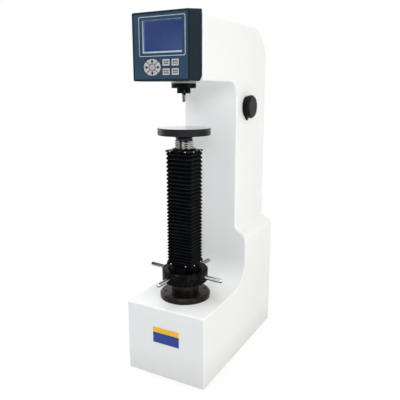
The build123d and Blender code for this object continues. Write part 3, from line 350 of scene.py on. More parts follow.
def clear_window():
    """Clear acrylic with a few wipe marks."""
    f = Finish("clear_window", (0.92, 0.96, 1.0), 0.04, Transmission_Weight=1.0, IOR=1.46, Alpha=0.25,
               Specular_IOR_Level=0.15)
    return f.sheen(f.grain(1.0, 3.0, 0.6, f.stretched(30.0, 30.0, 160.0)), 0.02, 0.1)


def rubber(colour):
    """Moulded rubber, matt and slightly dusty."""
    f = Finish("foot_rubber", colour, 0.8, Specular_IOR_Level=0.3)
    f.pebble(600.0, 3.0, 0.0001, 0.5)
    f.patches(shade(colour, 1.7), 60.0, 3.0, 0.5, 0.4, 0.8)
    return f.gloss(90.0, 2.0, 0.7, 0.9)


def laminate_board():
    """Circuit board with its weave and faint tracks."""
    f = Finish("laminate_board", paint(20, 84, 52), 0.4, Coat_Weight=0.4)
    f.tint(f.spread(f.cells(420.0, "DISTANCE_TO_EDGE"), 0.5, 0.0, 0.0, 0.2), paint(60, 130, 84))
    f.relief(f.bands(1400.0, "X"), 0.00003, 0.3)
    return f.material


def make_finishes(look):
    """All finishes by the name of the record's slot or of a piece."""
    return {
        "body_white": enamel_white(tuple(look.enamel)),
        "grey_paint": plain_paint("nose_grey_paint", paint(150, 154, 158), 0.4),
        "black_steel": cast_speckle("black_oxide_steel", paint(9, 9, 10), paint(150, 152, 158)),
        "burnished": burnished_brown(),
        "ground_steel": ground_steel(paint(222, 224, 228)),
        "rim_steel": turned_steel("turned_rim_steel", paint(40, 42, 45), 0.3, 700.0),
        "dark_steel": turned_steel("turned_dark_steel", paint(98, 97, 96), 0.22, 800.0),
        "lever_steel": turned_steel("milled_lever_steel", paint(96, 97, 100), 0.4, 300.0, "X"),
        # the dark colour gives stains and upright bands of painted reflection on the thread
        "thread_steel": turned_steel("thread_steel_painted_reflections", paint(188, 186, 183), 0.16, 1200.0,
                                     stain_and_reflection=paint(26, 24, 23)),
        "chrome": bright_chrome(),
        "bronze": turned_steel("turned_bronze", paint(176, 128, 66), 0.3),
        "weight_iron": cast_speckle("cast_weight_iron", paint(56, 57, 60), paint(96, 96, 98)),
        "light_alloy": turned_steel("milled_light_alloy", paint(186, 188, 190), 0.42, 500.0, "Y"),
        "black_rubber": rubber(paint(26, 26, 27)),
        "bellows_cloth": bellows_cloth("bellows_cloth", paint(5, 5, 7), paint(14, 15, 17)),
        # paler cloth for the pleats' ridges: painted highlight
        "bellows_ridge_highlight": bellows_cloth("bellows_ridge_painted_highlight", paint(25, 26, 29), paint(44, 46, 51)),
        "knob_black": black_gloss((0.008, 0.008, 0.009), 0.32),
        "housing_dark": fine_plastic("housing_dark_paint", tuple(look.housing), 0.42, 700.0, 0.0001, 0.05),
        "panel_navy": panel_film(tuple(look.panel)),
        "key_grey": fine_plastic("key_grey_plastic", paint(184, 183, 181), 0.38, 1400.0, 0.00004),
        "key_centre": fine_plastic("key_centre_plastic", paint(174, 167, 168), 0.38, 1400.0, 0.00004),
        "line_white": fine_plastic("printed_line", paint(204, 216, 222)),
        # dark finish for printed marks and the port insert, also painted shade on the keys' sides
        "dark_mark_and_gap_shade": fine_plastic("dark_print_and_painted_gap_shade", paint(16, 17, 22), gloss=0.05),
        # pale colour of the screen's lip: painted highlight
        "lip_painted_highlight": fine_plastic("screen_lip_painted_highlight", paint(186, 206, 214), 0.35, depth=0.00003),
        "border_dark": fine_plastic("panel_border_dark", paint(12, 26, 34), gloss=0.1),
        "screen_blue": lit_screen(tuple(look.screen), tuple(look.screen_corner)),
        "clear": clear_window(),
        "circuit": laminate_board(),
        "plate_blue": fine_plastic("plate_blue_print", paint(38, 62, 142), 0.36),
        "plate_yellow": fine_plastic("plate_yellow_print", paint(246, 190, 44), 0.36),
        "screw_steel": turned_steel("plated_screw_steel", paint(206, 206, 204), 0.2, 1500.0),
    }


def dress(finish, *names):
    """Gives carried-over CAD nodes a finish."""
    for name in names:
        piece = cad[name]
        piece.data.materials.clear()
        piece.data.materials.append(finishes[finish])


def second_finish(piece, finish, chosen):
    """Gives the faces that a test chooses another finish."""
    piece.data.materials.append(finishes[finish])
    for face in piece.data.polygons:
        face.material_index = int(chosen(face))


# Mesh helpers

def placed(name, data):
    """New object in the scene."""
    item = bpy.data.objects.new(name, data)
    bpy.context.scene.collection.objects.link(item)
    return item


def piece_from(name, body, shape, finish, smooth=True, stands_for=()):
    """New piece from vertices in metres and faces, riding on a body."""
    mesh = bpy.data.meshes.new(name)
    mesh.from_pydata(shape[0], [], shape[1])
    mesh.validate()
    mesh.update()
    piece = placed(name, mesh)
    mesh.materials.append(finishes[finish])
    if smooth:
        smooth_by_angle(piece)
    if body:
        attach(piece, body)
    if stands_for:
        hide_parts(*stands_for)
    return piece


def smooth_by_angle(piece):
    """Smooth shading with edges kept sharp above an angle."""
    mesh = piece.data
    mesh.polygons.foreach_set("use_smooth", [True] * len(mesh.polygons))
    work = bmesh.new()
    work.from_mesh(mesh)
    limit = radians(32.0)
    for edge in work.edges:
        if len(edge.link_faces) == 2:
            edge.smooth = edge.calc_face_angle(pi) < limit
    work.to_mesh(mesh)
    work.free()
    mesh.update()


def clean(piece):
    """Welds doubled vertices and drops faces without area."""
    work = bmesh.new()
    work.from_mesh(piece.data)
    bmesh.ops.remove_doubles(work, verts=work.verts, dist=1e-6)
    bmesh.ops.dissolve_degenerate(work, edges=work.edges, dist=1e-6)
    bmesh.ops.recalc_face_normals(work, faces=work.faces)
    work.to_mesh(piece.data)
    work.free()
    smooth_by_angle(piece)


def soften(width, *names, segments=2):
    """Bevel modifier that breaks the sharp edges of CAD nodes."""
    for name in names:
        bevel = cad[name].modifiers.new("broken_edges", "BEVEL")
        bevel.width = width
        bevel.segments = segments
        bevel.limit_method = "ANGLE"
        bevel.angle_limit = radians(35.0)


def circle(radius, steps):
    """Points round a circle, anticlockwise."""
    turns = [2 * pi * step / steps for step in range(steps)]
    return [(radius * cos(turn), radius * sin(turn)) for turn in turns]


def rounded_outline(half_x, half_y, radius, steps=5, centre=(0.0, 0.0)):
    """Rectangle with rounded corners, anticlockwise."""
    points = []
    for quarter, (sx, sy) in enumerate(((1, 1), (-1, 1), (-1, -1), (1, -1))):
        for step in range(steps + 1):
            turn = (quarter + step / steps) * pi / 2
            points.append((centre[0] + sx * (half_x - radius) + radius * cos(turn),
                           centre[1] + sy * (half_y - radius) + radius * sin(turn)))
    return points


def lifted(outline, level, place):
    """Vertices of an outline at a level above a place."""
    return [place @ Vector((x, y, level)) for x, y in outline]


def bridge(first, second, around):
    """Quads between two rings of vertices, by the numbers that the rings start at."""
    ends = [(step, (step + 1) % around) for step in range(around)]
    return [(first + a, first + b, second + b, second + a) for a, b in ends]


def stacked(rings, around, first=0, wrap=False):
    """Quads between stacked rings, and from the last back to the first if they wrap."""
    starts = [first + ring * around for ring in range(rings)]
    if wrap:
        starts.append(first)
    faces = []
    for low, high in zip(starts, starts[1:]):
        faces += bridge(low, high, around)
    return faces


def cap(first, around, down=False):
    """Face that closes a ring."""
    ring = tuple(range(first, first + around))
    return ring[::-1] if down else ring


def lathe(profile, steps, place=Matrix.Identity(4)):
    """A (radius, height) profile turned about Z, then placed."""
    verts = []
    for radius, level in profile:
        verts += lifted(circle(radius, steps), level, place)
    ends = [cap(0, steps, True), cap((len(profile) - 1) * steps, steps)]
    return verts, stacked(len(profile), steps) + ends


def prism(outline, low, high, place):
    """Closed prism over an outline in its own XY plane."""
    count = len(outline)
    verts = lifted(outline, low, place) + lifted(outline, high, place)
    return verts, [cap(0, count, True), cap(count, count)] + stacked(2, count)


def frame_ring(outer, inner, low, high, place):
    """Flat ring between two outlines with as many points."""
    verts = []
    for outline, level in ((outer, low), (outer, high), (inner, high), (inner, low)):
        verts += lifted(outline, level, place)
    return verts, stacked(4, len(outer), wrap=True)


def joined(parts):
    """One shape from several."""
    verts, faces = [], []
    for some_verts, some_faces in parts:
        first = len(verts)
        verts += some_verts
        faces += [tuple(v + first for v in face) for face in some_faces]
    return verts, faces


def facing(x, y, z, normal):
    """Place with local Z along a normal, and local Y upward where it can be."""
    z_axis = Vector(normal).normalized()
    up = Vector(to_top) if abs(z_axis.z) < 0.9 else Vector(to_rear)
    x_axis = up.cross(z_axis).normalized()
    y_axis = z_axis.cross(x_axis)
    turn = Matrix((x_axis, y_axis, z_axis)).transposed().to_4x4()
    return Matrix.Translation((x, y, z)) @ turn


def face_place(name, normal, rise=0.0):
    """Place in the middle of a node's front or rear face, or above that face by a rise."""
    low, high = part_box(name)
    y = low.y - rise if normal == to_front else high.y + rise
    return facing((low.x + high.x) / 2, y, (low.z + high.z) / 2, normal)


def half_face(name):
    """Half the width and half the height of a node."""
    low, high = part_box(name)
    return (high.x - low.x) / 2, (high.z - low.z) / 2


def cross_outline(arm, half_slot, steps):
    """Outline of a cross recess."""
    points = []
    for x, y in circle(1.0, steps):
        small, large = sorted((abs(x), abs(y)))
        if small / large < half_slot / arm:
            reach = arm
        elif small / large > 0.8:
            reach = half_slot * 2 ** 0.5
        else:
            reach = min(half_slot / small, arm)
        points.append((reach * x, reach * y))
    return points


def cross_screw(radius, height, place):
    """Pan head with a cross recess."""
    steps = 32
    head = ((1.0, 0.0), (1.0, 0.35), (0.93, 0.7), (0.75, 0.93), (0.52, 1.0))    # shares of radius and height
    cross = cross_outline(radius * 0.46, radius * 0.13, steps)
    verts = []
    for wide, tall in head:
        verts += lifted(circle(radius * wide, steps), height * tall, place)
    verts += lifted(cross, height, place)
    verts += lifted([(x * 0.9, y * 0.9) for x, y in cross], height * 0.35, place)
    rings = len(head) + 2
    return verts, stacked(rings, steps) + [cap((rings - 1) * steps, steps), cap(0, steps, True)]


def screw_group(name, body, places, radius, height, stands_for=()):
    """Screws with cross recesses at several places, as one piece."""
    parts = [cross_screw(radius, height, place) for place in places]
    piece_from(name, body, joined(parts), "screw_steel", stands_for=stands_for)


def inverse_ease(share):
    """Where a smooth step from 0 to 1 reaches a share."""
    return 0.5 - sin(asin(1 - 2 * share) / 3)


# Sizes and colours that a user can change
a_colour = {"subtype": "COLOR", "size": 3, "min": 0.0, "max": 1.0}
a_length = {"unit": "LENGTH", "min": 0.0}
a_power = {"unit": "POWER", "min": 0.0}


class TesterLook(PropertyGroup):
    """Colours of the painted, printed and lit surfaces."""
    enamel: FloatVectorProperty(name="Enamel", description="White stove enamel of the body",
                                default=paint(238, 238, 234), **a_colour)
    housing: FloatVectorProperty(name="Housing", description="Dark paint of the display box",
                                 default=paint(14, 30, 36), **a_colour)
    panel: FloatVectorProperty(name="Panel", description="Film on the face panel",
                               default=paint(44, 64, 83), **a_colour)
    screen: FloatVectorProperty(name="Screen", description="Lit field of the screen",
                                default=paint(18, 54, 118), **a_colour)
    screen_corner: FloatVectorProperty(name="Screen corner", description="Tint of the screen's lower right",
                                       default=paint(78, 92, 132), **a_colour)


class TesterBellows(PropertyGroup):
    """Sizes of the pleated cover."""
    pleats: IntProperty(name="Pleats", description="Number of pleats", default=31, min=8, max=60)
    valley: FloatProperty(name="Fold depth", description="Depth of a valley below the pleats' edges",
                          default=5 * mm, **a_length)
    corner: FloatProperty(name="Corner cut", description="Cut of the pleats' corners", default=5 * mm,
                          **a_length)
    wall: FloatProperty(name="Cloth", description="Thickness of the cloth", default=1.5 * mm, **a_length)
    droop: FloatProperty(name="Droop", description="How far below its middle a pleat's edge hangs",
                         default=0.12, min=0.0, max=0.4, subtype="FACTOR")
    sag: FloatProperty(name="Sag", description="How much longer the upper pleats are than the lower ones",
                       default=0.16, min=0.0, max=0.5, subtype="FACTOR")


class TesterScrew(PropertyGroup):
    """Sizes of the lead screw's thread."""
    pitch: FloatProperty(name="Pitch", description="Lead of the single-start thread", default=6 * mm, min=mm,
                         unit="LENGTH")
    depth: FloatProperty(name="Depth", description="Depth of the thread", default=2.6 * mm, **a_length)


class TesterStage(PropertyGroup):
    """Camera and lamps."""
    lens: FloatProperty(name="Lens", description="Focal length", default=43.04, min=1.0, unit="CAMERA")
    yaw: FloatProperty(name="Yaw", description="Camera heading to the left of the rear",
                       default=radians(28.63), subtype="ANGLE")
    pitch: FloatProperty(name="Pitch", description="Camera slope below the horizon",
                         default=radians(12.69), subtype="ANGLE")
    viewpoint: FloatVectorProperty(name="Viewpoint", description="Place of the camera", size=3,
                                   default=(0.69425, -1.17759, 0.82982), subtype="TRANSLATION", unit="LENGTH")
    key: FloatProperty(name="Key lamp", description="Power of the large lamp on the right", default=23.5,
                       **a_power)
    fill: FloatProperty(name="Fill lamp", description="Power of the lamp in front of the column", default=1.9,
                        **a_power)
    strip: FloatProperty(name="Strip lamp", description="Power of the upright strip on the left", default=5.0,
                         **a_power)
    top: FloatProperty(name="Top lamp", description="Power of the lamp overhead", default=45.0, **a_power)
    sky: FloatProperty(name="Sky", description="Strength of the even light from all round", default=0.55,
                       min=0.0)


# Pieces

class TESTER_OT_finishes(Operator):
    """Make the finishes that the pieces share"""
    bl_idname = "tester.finishes"
    bl_label = "Finishes"

    def execute(self, context):
        finishes.update(make_finishes(context.scene.tester_look))
        for piece in cad.values():
            smooth_by_angle(piece)
        return {"FINISHED"}


class TESTER_OT_body(Operator):
    """Enamel the frame body and its covers and set the screws, the feet and the front plate"""
    bl_idname = "tester.body"
    bl_label = "Body"

    def execute(self, context):
        dress("body_white", "frame_body", "upper_rear_cover", "lower_rear_cover", "top_cover")
        dress("black_rubber", "feet")
        soften(0.5 * mm, "upper_rear_cover", "lower_rear_cover")
        self.cover_screws()
        self.front_plate()
        return {"FINISHED"}

    def cover_screws(self):
        """Plated screws with cross recesses in place of the plain ones."""
        inset = 6 * mm
        low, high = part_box("top_cover")
        places = [facing(x, y, high.z, to_top) for x in (low.x + inset, high.x - inset)
                  for y in (low.y + inset, (low.y + high.y) / 2, high.y - inset)]
        for name in ("upper_rear_cover", "lower_rear_cover"):
            low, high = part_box(name)
            places += [facing(x, high.y, z, to_rear) for x in (low.x + inset, high.x - inset)
                       for z in (low.z + inset, (low.z + high.z) / 2, high.z - inset)]
        screw_group("cover_screw_heads", "stand", places, 3.4 * mm, 1.6 * mm, ("cover_screws",))

    def front_plate(self):
        """Bare plate in two colours, with the corners rounded."""
        low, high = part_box("front_plate")
        half_x, half_z = half_face("front_plate")
        thick = high.y - low.y
        band = 0.33     # share of the plate's height in the upper colour
        split = half_z - 2 * half_z * band
        place = face_place("front_plate", to_front, -thick)
        outline = rounded_outline(half_x, half_z, 1.2 * mm)
        for name, limit, finish in (("front_plate_field", min, "plate_blue"),
                                    ("front_plate_band", max, "plate_yellow")):
            part = [(x, limit(y, split)) for x, y in outline]
            piece_from(name, "stand", prism(part, 0.0, thick, place), finish, stands_for=("front_plate",))


class TESTER_OT_drive(Operator):
    """Finish the screw's foot, the capstan with its spokes and the pieces inside them"""
    bl_idname = "tester.drive"
    bl_label = "Capstan and foot"

    def execute(self, context):
        dress("burnished", "screw_base")
        dress("black_steel", "flange_screws", "capstan_ring")
        dress("dark_steel", "thrust_bearing", "guide_key")
        dress("bronze", "lead_nut")
        dress("chrome", "capstan_spokes")
        return {"FINISHED"}


class TESTER_OT_screw(Operator):
    """Cut the thread of the lead screw"""
    bl_idname = "tester.screw"
    bl_label = "Lead screw"

    def execute(self, context):
        sizes = context.scene.tester_screw
        low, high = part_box("lead_screw")
        crest = high.x
        steps, chamfer, bore, bore_end = 56, 2 * mm, 12.1 * mm, high.z - 30 * mm
        mouth = [(bore, bore_end), (bore, high.z), (crest - chamfer, high.z - 0.01 * mm),
                 (crest - 3 * mm, high.z - chamfer)]
        foot = [(crest - 3 * mm, low.z + mm), (crest - chamfer - 0.05 * mm, low.z), (mm, low.z)]
        thread = self.thread(sizes, low, high, steps, chamfer)
        shape = joined([thread, lathe(mouth, steps), lathe(foot, steps)])
        clean(piece_from("threaded_screw", "screw", shape, "thread_steel", stands_for=("lead_screw",)))
        return {"FINISHED"}

    def thread(self, sizes, low, high, steps, chamfer):
        """Helix of the thread, with the keyway down its front."""
        crest = high.x
        root = crest - sizes.depth
        wave = ((0.0, crest), (0.34, crest), (0.5, root), (0.84, root))     # share of the pitch, and radius
        key_half, key_depth, key_end = 4.1 * mm, 4 * mm, high.z - 45 * mm
        first = floor(low.z / sizes.pitch) - 1
        last = floor(high.z / sizes.pitch) + 1
        count = (last - first) * len(wave)
        verts, faces = [], []
        for step in range(steps):
            turn = 2 * pi * step / steps
            for index in range(count):
                share, radius = wave[index % len(wave)]
                z = (first + index // len(wave) + share + turn / (2 * pi)) * sizes.pitch
                z = min(max(z, low.z), high.z)
                radius = min(radius, crest - chamfer + min(z - low.z, high.z - z))
                x, y = radius * cos(turn), radius * sin(turn)
                if y < -root * 0.8 and abs(x) < key_half and z < key_end:
                    y = max(y, -crest + key_depth)
                verts.append((x, y, z))
            for index in range(count - 1):
                a = step * count + index
                b = a + count
                if step + 1 == steps:       # the last column meets the first one a turn further up
                    b = index + len(wave)
                    if b + 1 >= count:
                        break
                faces.append((a, b, b + 1, a + 1))
        return verts, faces


class TESTER_OT_table(Operator):
    """Finish the work table: ground top, turned rim"""
    bl_idname = "tester.table"
    bl_label = "Work table"

    def execute(self, context):
        dress("rim_steel", "work_table")
        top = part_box("work_table")[1].z - 0.05 * mm
        second_finish(cad["work_table"], "ground_steel",
                      lambda face: face.center.z > top and face.normal.z > 0.9)
        return {"FINISHED"}


class TESTER_OT_bellows(Operator):
    """Fold the bellows, one piece for each pleat, and hang its skirt"""
    bl_idname = "tester.bellows"
    bl_label = "Bellows"

    def execute(self, context):
        sizes = context.scene.tester_bellows
        low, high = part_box("bellows")
        heights = []
        for step in range(sizes.pleats + 1):
            share = step / sizes.pleats
            heights.append(low.z + (high.z - low.z) * (share - sizes.sag * share * (1 - share)))
        for index in range(sizes.pleats):
            piece = self.pleat(index, heights[index], heights[index + 1], high, sizes)
            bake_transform(piece)
        self.skirt()
        dress("black_steel", "bellows_base", "bellows_cap")
        soften(0.6 * mm, "bellows_base", "bellows_cap")
        self.plate_screws()
        return {"FINISHED"}

    def span(self, low, high, bottom, top):
        """Start and end of the blend that moves a pleat's two valleys in proportion."""
        first = inverse_ease((low - bottom) / (top - bottom))
        last = inverse_ease((high - bottom) / (top - bottom))
        length = (high - low) / (last - first)
        return low - first * length, low + (1 - first) * length

    def loop(self, a, b, cut, z, index, wander):
        """Points round the bellows at one level, with the cloth's small unevenness."""
        corners = [(a, -b + cut), (a, b - cut), (a - cut, b), (-a + cut, b),
                   (-a, b - cut), (-a, -b + cut), (-a + cut, -b), (a - cut, -b)]
        waves, step_between, hollow = 28, 3.7, 0.5 * mm     # noise across a pleat and from one to the next
        points = []
        for number, (start, end) in enumerate(zip(corners, corners[1:] + corners[:1])):
            at_corner = number % 2
            steps = 2 if at_corner else 8
            for step in range(steps):
                share = step / steps
                x = start[0] + (end[0] - start[0]) * share
                y = start[1] + (end[1] - start[1]) * share
                drift = noise.noise(Vector((x * waves, y * waves, index * step_between))) * wander
                bow = 0.0 if at_corner else sin(pi * share) * hollow
                out = 1 - (bow + abs(drift) * 0.5) / hypot(x, y)
                points.append(Vector((x * out, y * out, z + drift * 0.6)))
        return points

    def pleat(self, index, low, high, box_corner, sizes):
        """One closed fold of cloth between two valleys."""
        half_x, half_y = box_corner.x - 0.1 * mm, box_corner.y - 0.1 * mm
        middle = 0.5 - sizes.droop
        # shares of the pleat's height and of the fold's depth, from one valley to the next
        profile = ((0.0, 1.0), (0.06, 0.8), (middle - 0.10, 0.16), (middle - 0.03, 0.0), (middle + 0.03, 0.0),
                   (middle + 0.12, 0.1), (0.94, 0.82), (1.0, 1.0))
        verts = []
        for share, inward in profile:
            depth = sizes.valley * inward
            cut = sizes.corner * (1 - 0.5 * inward)
            wander = 0.0 if share in (0.0, 1.0) else 0.9 * mm * (1 - inward)
            verts += self.loop(half_x - depth, half_y - depth, cut, low + (high - low) * share, index, wander)
        inner = sizes.valley + sizes.wall
        for z in (high, low):
            verts += self.loop(half_x - inner, half_y - inner, sizes.corner * 0.4, z, index, 0.0)
        rings = len(profile) + 2
        count = len(verts) // rings
        piece = piece_from(f"bellows_pleat_{index + 1:02d}", None, (verts, stacked(rings, count, wrap=True)),
                           "bellows_cloth", stands_for=("bellows",))
        # the outer bands of each pleat take the paler finish: painted highlight along the ridges
        second_finish(piece, "bellows_ridge_highlight", lambda face: 2 * count <= face.index < 5 * count)
        return piece

    def skirt(self):
        """Wrinkled skirt that droops from the lower plate onto the capstan."""
        low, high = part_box("bellows_skirt")
        steps, rows, cloth, deep, rise = 120, 9, 1.4 * mm, 1.5 * mm, 1.6 * mm
        half_x, half_y, corner = high.x - 5 * mm, high.y - 8 * mm, 46 * mm      # upper edge, under the plate
        ring = high.x - 2.9 * mm        # radius of the lower edge
        verts = []
        for inward in (0.0, cloth):
            for row in range(rows):
                share = row / (rows - 1)
                ease = share * share * (3 - 2 * share)
                level = high.z + (low.z - high.z) * share
                for step in range(steps):
                    turn = 2 * pi * step / steps
                    c, s = cos(turn), sin(turn)
                    square = min(half_x / max(abs(c), 1e-6), half_y / max(abs(s), 1e-6), corner)
                    fold = sin(9 * turn + 0.8 * sin(3 * turn)) + 0.5 * sin(17 * turn + 1.3)
                    radius = square * (1 - ease) + ring * ease + fold * deep * ease - inward
                    lift = (0.5 + 0.5 * sin(7 * turn + 2.0)) * rise * share
                    verts.append((radius * c, radius * s, max(level + lift * share, low.z)))
        lining = rows * steps
        faces = stacked(rows, steps) + [face[::-1] for face in stacked(rows, steps, lining)]
        for edge in (0, lining - steps):
            faces += bridge(edge, lining + edge, steps)
        clean(piece_from("skirt_cloth", "stand", (verts, faces), "bellows_cloth",
                         stands_for=("bellows_skirt",)))

    def plate_screws(self):
        """Bright screws in the edges of the lower and the upper plate."""
        for node, body in (("bellows_base", "stand"), ("bellows_cap", "screw")):
            low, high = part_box(node)
            level = high.z - 3 * mm if body == "stand" else low.z + 2.5 * mm
            places = []
            for x, y in ((-25 * mm, -20 * mm), (25 * mm, 20 * mm)):
                places += [facing(x, low.y, level, to_front), facing(high.x, y, level, to_right),
                           facing(low.x, y, level, to_left)]
            screw_group(node + "_screws", body, places, 2.1 * mm, 1.6 * mm)


class TESTER_OT_nose(Operator):
    """Finish the nose with its flange, guard, spindle and indenter"""
    bl_idname = "tester.nose"
    bl_label = "Nose and indenter"

    def execute(self, context):
        dress("grey_paint", "nose_plate")
        dress("black_steel", "nose_flange", "nose_guard", "clamp_screw")
        dress("bronze", "spindle_bush")
        dress("rim_steel", "spindle")
        dress("dark_steel", "indenter")
        dress("chrome", "sensor_plunger")
        soften(0.4 * mm, "nose_plate", "nose_flange", "nose_guard")
        low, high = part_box("nose_flange")
        middle = (low.z + high.z) / 2 + 0.5 * mm
        reach = high.x * 0.992      # the screws stand just inside the flange's edge
        parts = []
        for turn in (-112.0, -38.0, 82.0, 158.0):
            c, s = cos(radians(turn)), sin(radians(turn))
            parts.append(self.set_screw(2.2 * mm, facing(reach * c, reach * s, middle, (c, s, 0))))
        piece_from("nose_set_screws", "stand", joined(parts), "black_steel")
        return {"FINISHED"}

    def set_screw(self, radius, place):
        """Grub screw with a hexagon socket."""
        steps = 24
        hexagon = []
        for step in range(steps):
            turn = 2 * pi * step / steps
            reach = radius * 0.52 / cos((turn + pi / 6) % (pi / 3) - pi / 6)
            hexagon.append((reach * cos(turn), reach * sin(turn)))
        rim = frame_ring(circle(radius, steps), hexagon, 0.0, 0.4 * mm, place)
        bottom = prism([(x * 0.99, y * 0.99) for x, y in hexagon], 0.0, 0.05 * mm, place)
        return joined([rim, bottom])


class TESTER_OT_display(Operator):
    """Finish the display box with its panel, printed line, screen and window"""
    bl_idname = "tester.display"
    bl_label = "Display box"

    def execute(self, context):
        dress("housing_dark", "display_housing")
        dress("panel_navy", "display_panel")
        dress("screen_blue", "lcd_module")
        dress("clear", "display_lens")
        dress("circuit", "key_board")
        soften(0.8 * mm, "display_housing", segments=3)
        soften(0.4 * mm, "display_panel")
        line_place = facing(4.5 * mm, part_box("display_panel")[0].y, 968 * mm, to_front)
        self.printed("panel_line", line_place, (69.5 * mm, 48.5 * mm, 4.5 * mm, 6),
                     (68.2 * mm, 47.2 * mm, 3.4 * mm, 6), 0.15 * mm, "line_white")
        half_x, half_z = half_face("display_panel")
        self.printed("panel_border", face_place("display_panel", to_front),
                     (half_x - 0.5 * mm, half_z - 0.5 * mm, 2.0 * mm),
                     (half_x - 2.4 * mm, half_z - 2.4 * mm, 1.5 * mm), 0.1 * mm, "border_dark")
        self.screen_lip()
        return {"FINISHED"}

    def printed(self, name, place, outer, inner, rise, finish):
        """Printed frame between two rounded outlines, each of half width, half height and corner."""
        shape = frame_ring(rounded_outline(*outer), rounded_outline(*inner), -0.05 * mm, rise, place)
        piece_from(name, "stand", shape, finish)

    def screen_lip(self):
        """Lip round the screen: upright at the left, sloped below, thin at the right and the top; its pale
        colour is a painted highlight on the bevel.
        """
        low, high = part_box("screen_bezel")
        outside = (0.0, 0.0, 0.0, 0.0)
        front, back = (0.6, 0.8, 0.5, 0.5), (0.9, 4.6, 1.0, 0.8)    # mm at the left, below, right and above
        verts = []
        for rim, y in ((outside, low.y), (front, low.y), (back, high.y), (outside, high.y)):
            left, below, right, above = (part * mm for part in rim)
            for x, z in ((low.x + left, low.z + below), (high.x - right, low.z + below),
                         (high.x - right, high.z - above), (low.x + left, high.z - above)):
                verts.append((x, y, z))
        shape = (verts, stacked(4, 4, wrap=True))
        clean(piece_from("screen_lip", "stand", shape, "lip_painted_highlight", stands_for=("screen_bezel",)))


class TESTER_OT_keys(Operator):
    """Finish the keys, darken their sides as painted shade in the gaps, and print their marks"""
    bl_idname = "tester.keys"
    bl_label = "Keys"

    def execute(self, context):
        names = [name for name in cad if name.endswith("_key") or name.startswith("square_key")]
        dress("key_grey", *names)
        dress("key_centre", "middle_key")
        for name in names:
            # sides and backs of the keys take the dark finish: painted shade in the gaps between keys
            second_finish(cad[name], "dark_mark_and_gap_shade", lambda face: face.normal.y >= -0.5)
        soften(0.5 * mm, *names)
        reach, half, stem = 6.2 * mm, 4.6 * mm, mm
        root = -reach * 0.2
        head = [(reach, 0.0), (root, half), (root, -half)]
        tail = [(root, stem), (-reach * 0.8, stem), (-reach * 0.8, -stem), (root, -stem)]
        for name, turn in (("right_key", 0), ("up_key", 90), ("left_key", 180), ("down_key", 270)):
            self.print_mark(name, (head, tail), Matrix.Rotation(radians(turn), 4, "Z"))
        for number in range(1, 5):
            self.print_mark(f"square_key_{number}", self.square_mark(number))
        return {"FINISHED"}

    def print_mark(self, name, outlines, turned=Matrix.Identity(4)):
        """Dark mark of one or more outlines on the middle of a key."""
        place = face_place(name, to_front) @ turned
        parts = [prism(outline, -0.02 * mm, 0.12 * mm, place) for outline in outlines]
        piece_from(name + "_mark", name, joined(parts), "dark_mark_and_gap_shade", smooth=False)

    def square_mark(self, number):
        """Plain signs, made of small bars, in two rows on each key."""
        bars = []
        for row, lift in enumerate((2.6 * mm, -2.6 * mm)):
            for step in range(3):
                centre = ((step - 1) * 5.2 * mm, lift)
                wide = 1.9 if (step + row + number) % 3 else 2.4
                bars.append(rounded_outline(wide * mm, 1.05 * mm, 0.3 * mm, 2, centre))
                if (step * number + row) % 2 == 0:
                    bars.append(rounded_outline(0.95 * mm, 2.2 * mm, 0.3 * mm, 2, centre))
        return bars


class TESTER_OT_selector(Operator):
    """Finish the load selector's knob, plate and shaft"""
    bl_idname = "tester.selector"
    bl_label = "Load selector"

    def execute(self, context):
        dress("knob_black", "load_dial", "load_knob")
        dress("lever_steel", "selector_shaft")
        soften(0.8 * mm, "load_dial", segments=3)
        return {"FINISHED"}


class TESTER_OT_train(Operator):
    """Finish the lever, the weights and what drives them"""
    bl_idname = "tester.train"
    bl_label = "Load train"

    def execute(self, context):
        dress("weight_iron", "fulcrum_block", "load_weights")
        dress("lever_steel", "main_lever", "weight_hanger", "load_cam")
        dress("light_alloy", "dashpot", "depth_sensor", "power_supply")
        dress("black_steel", "loading_motor")
        return {"FINISHED"}


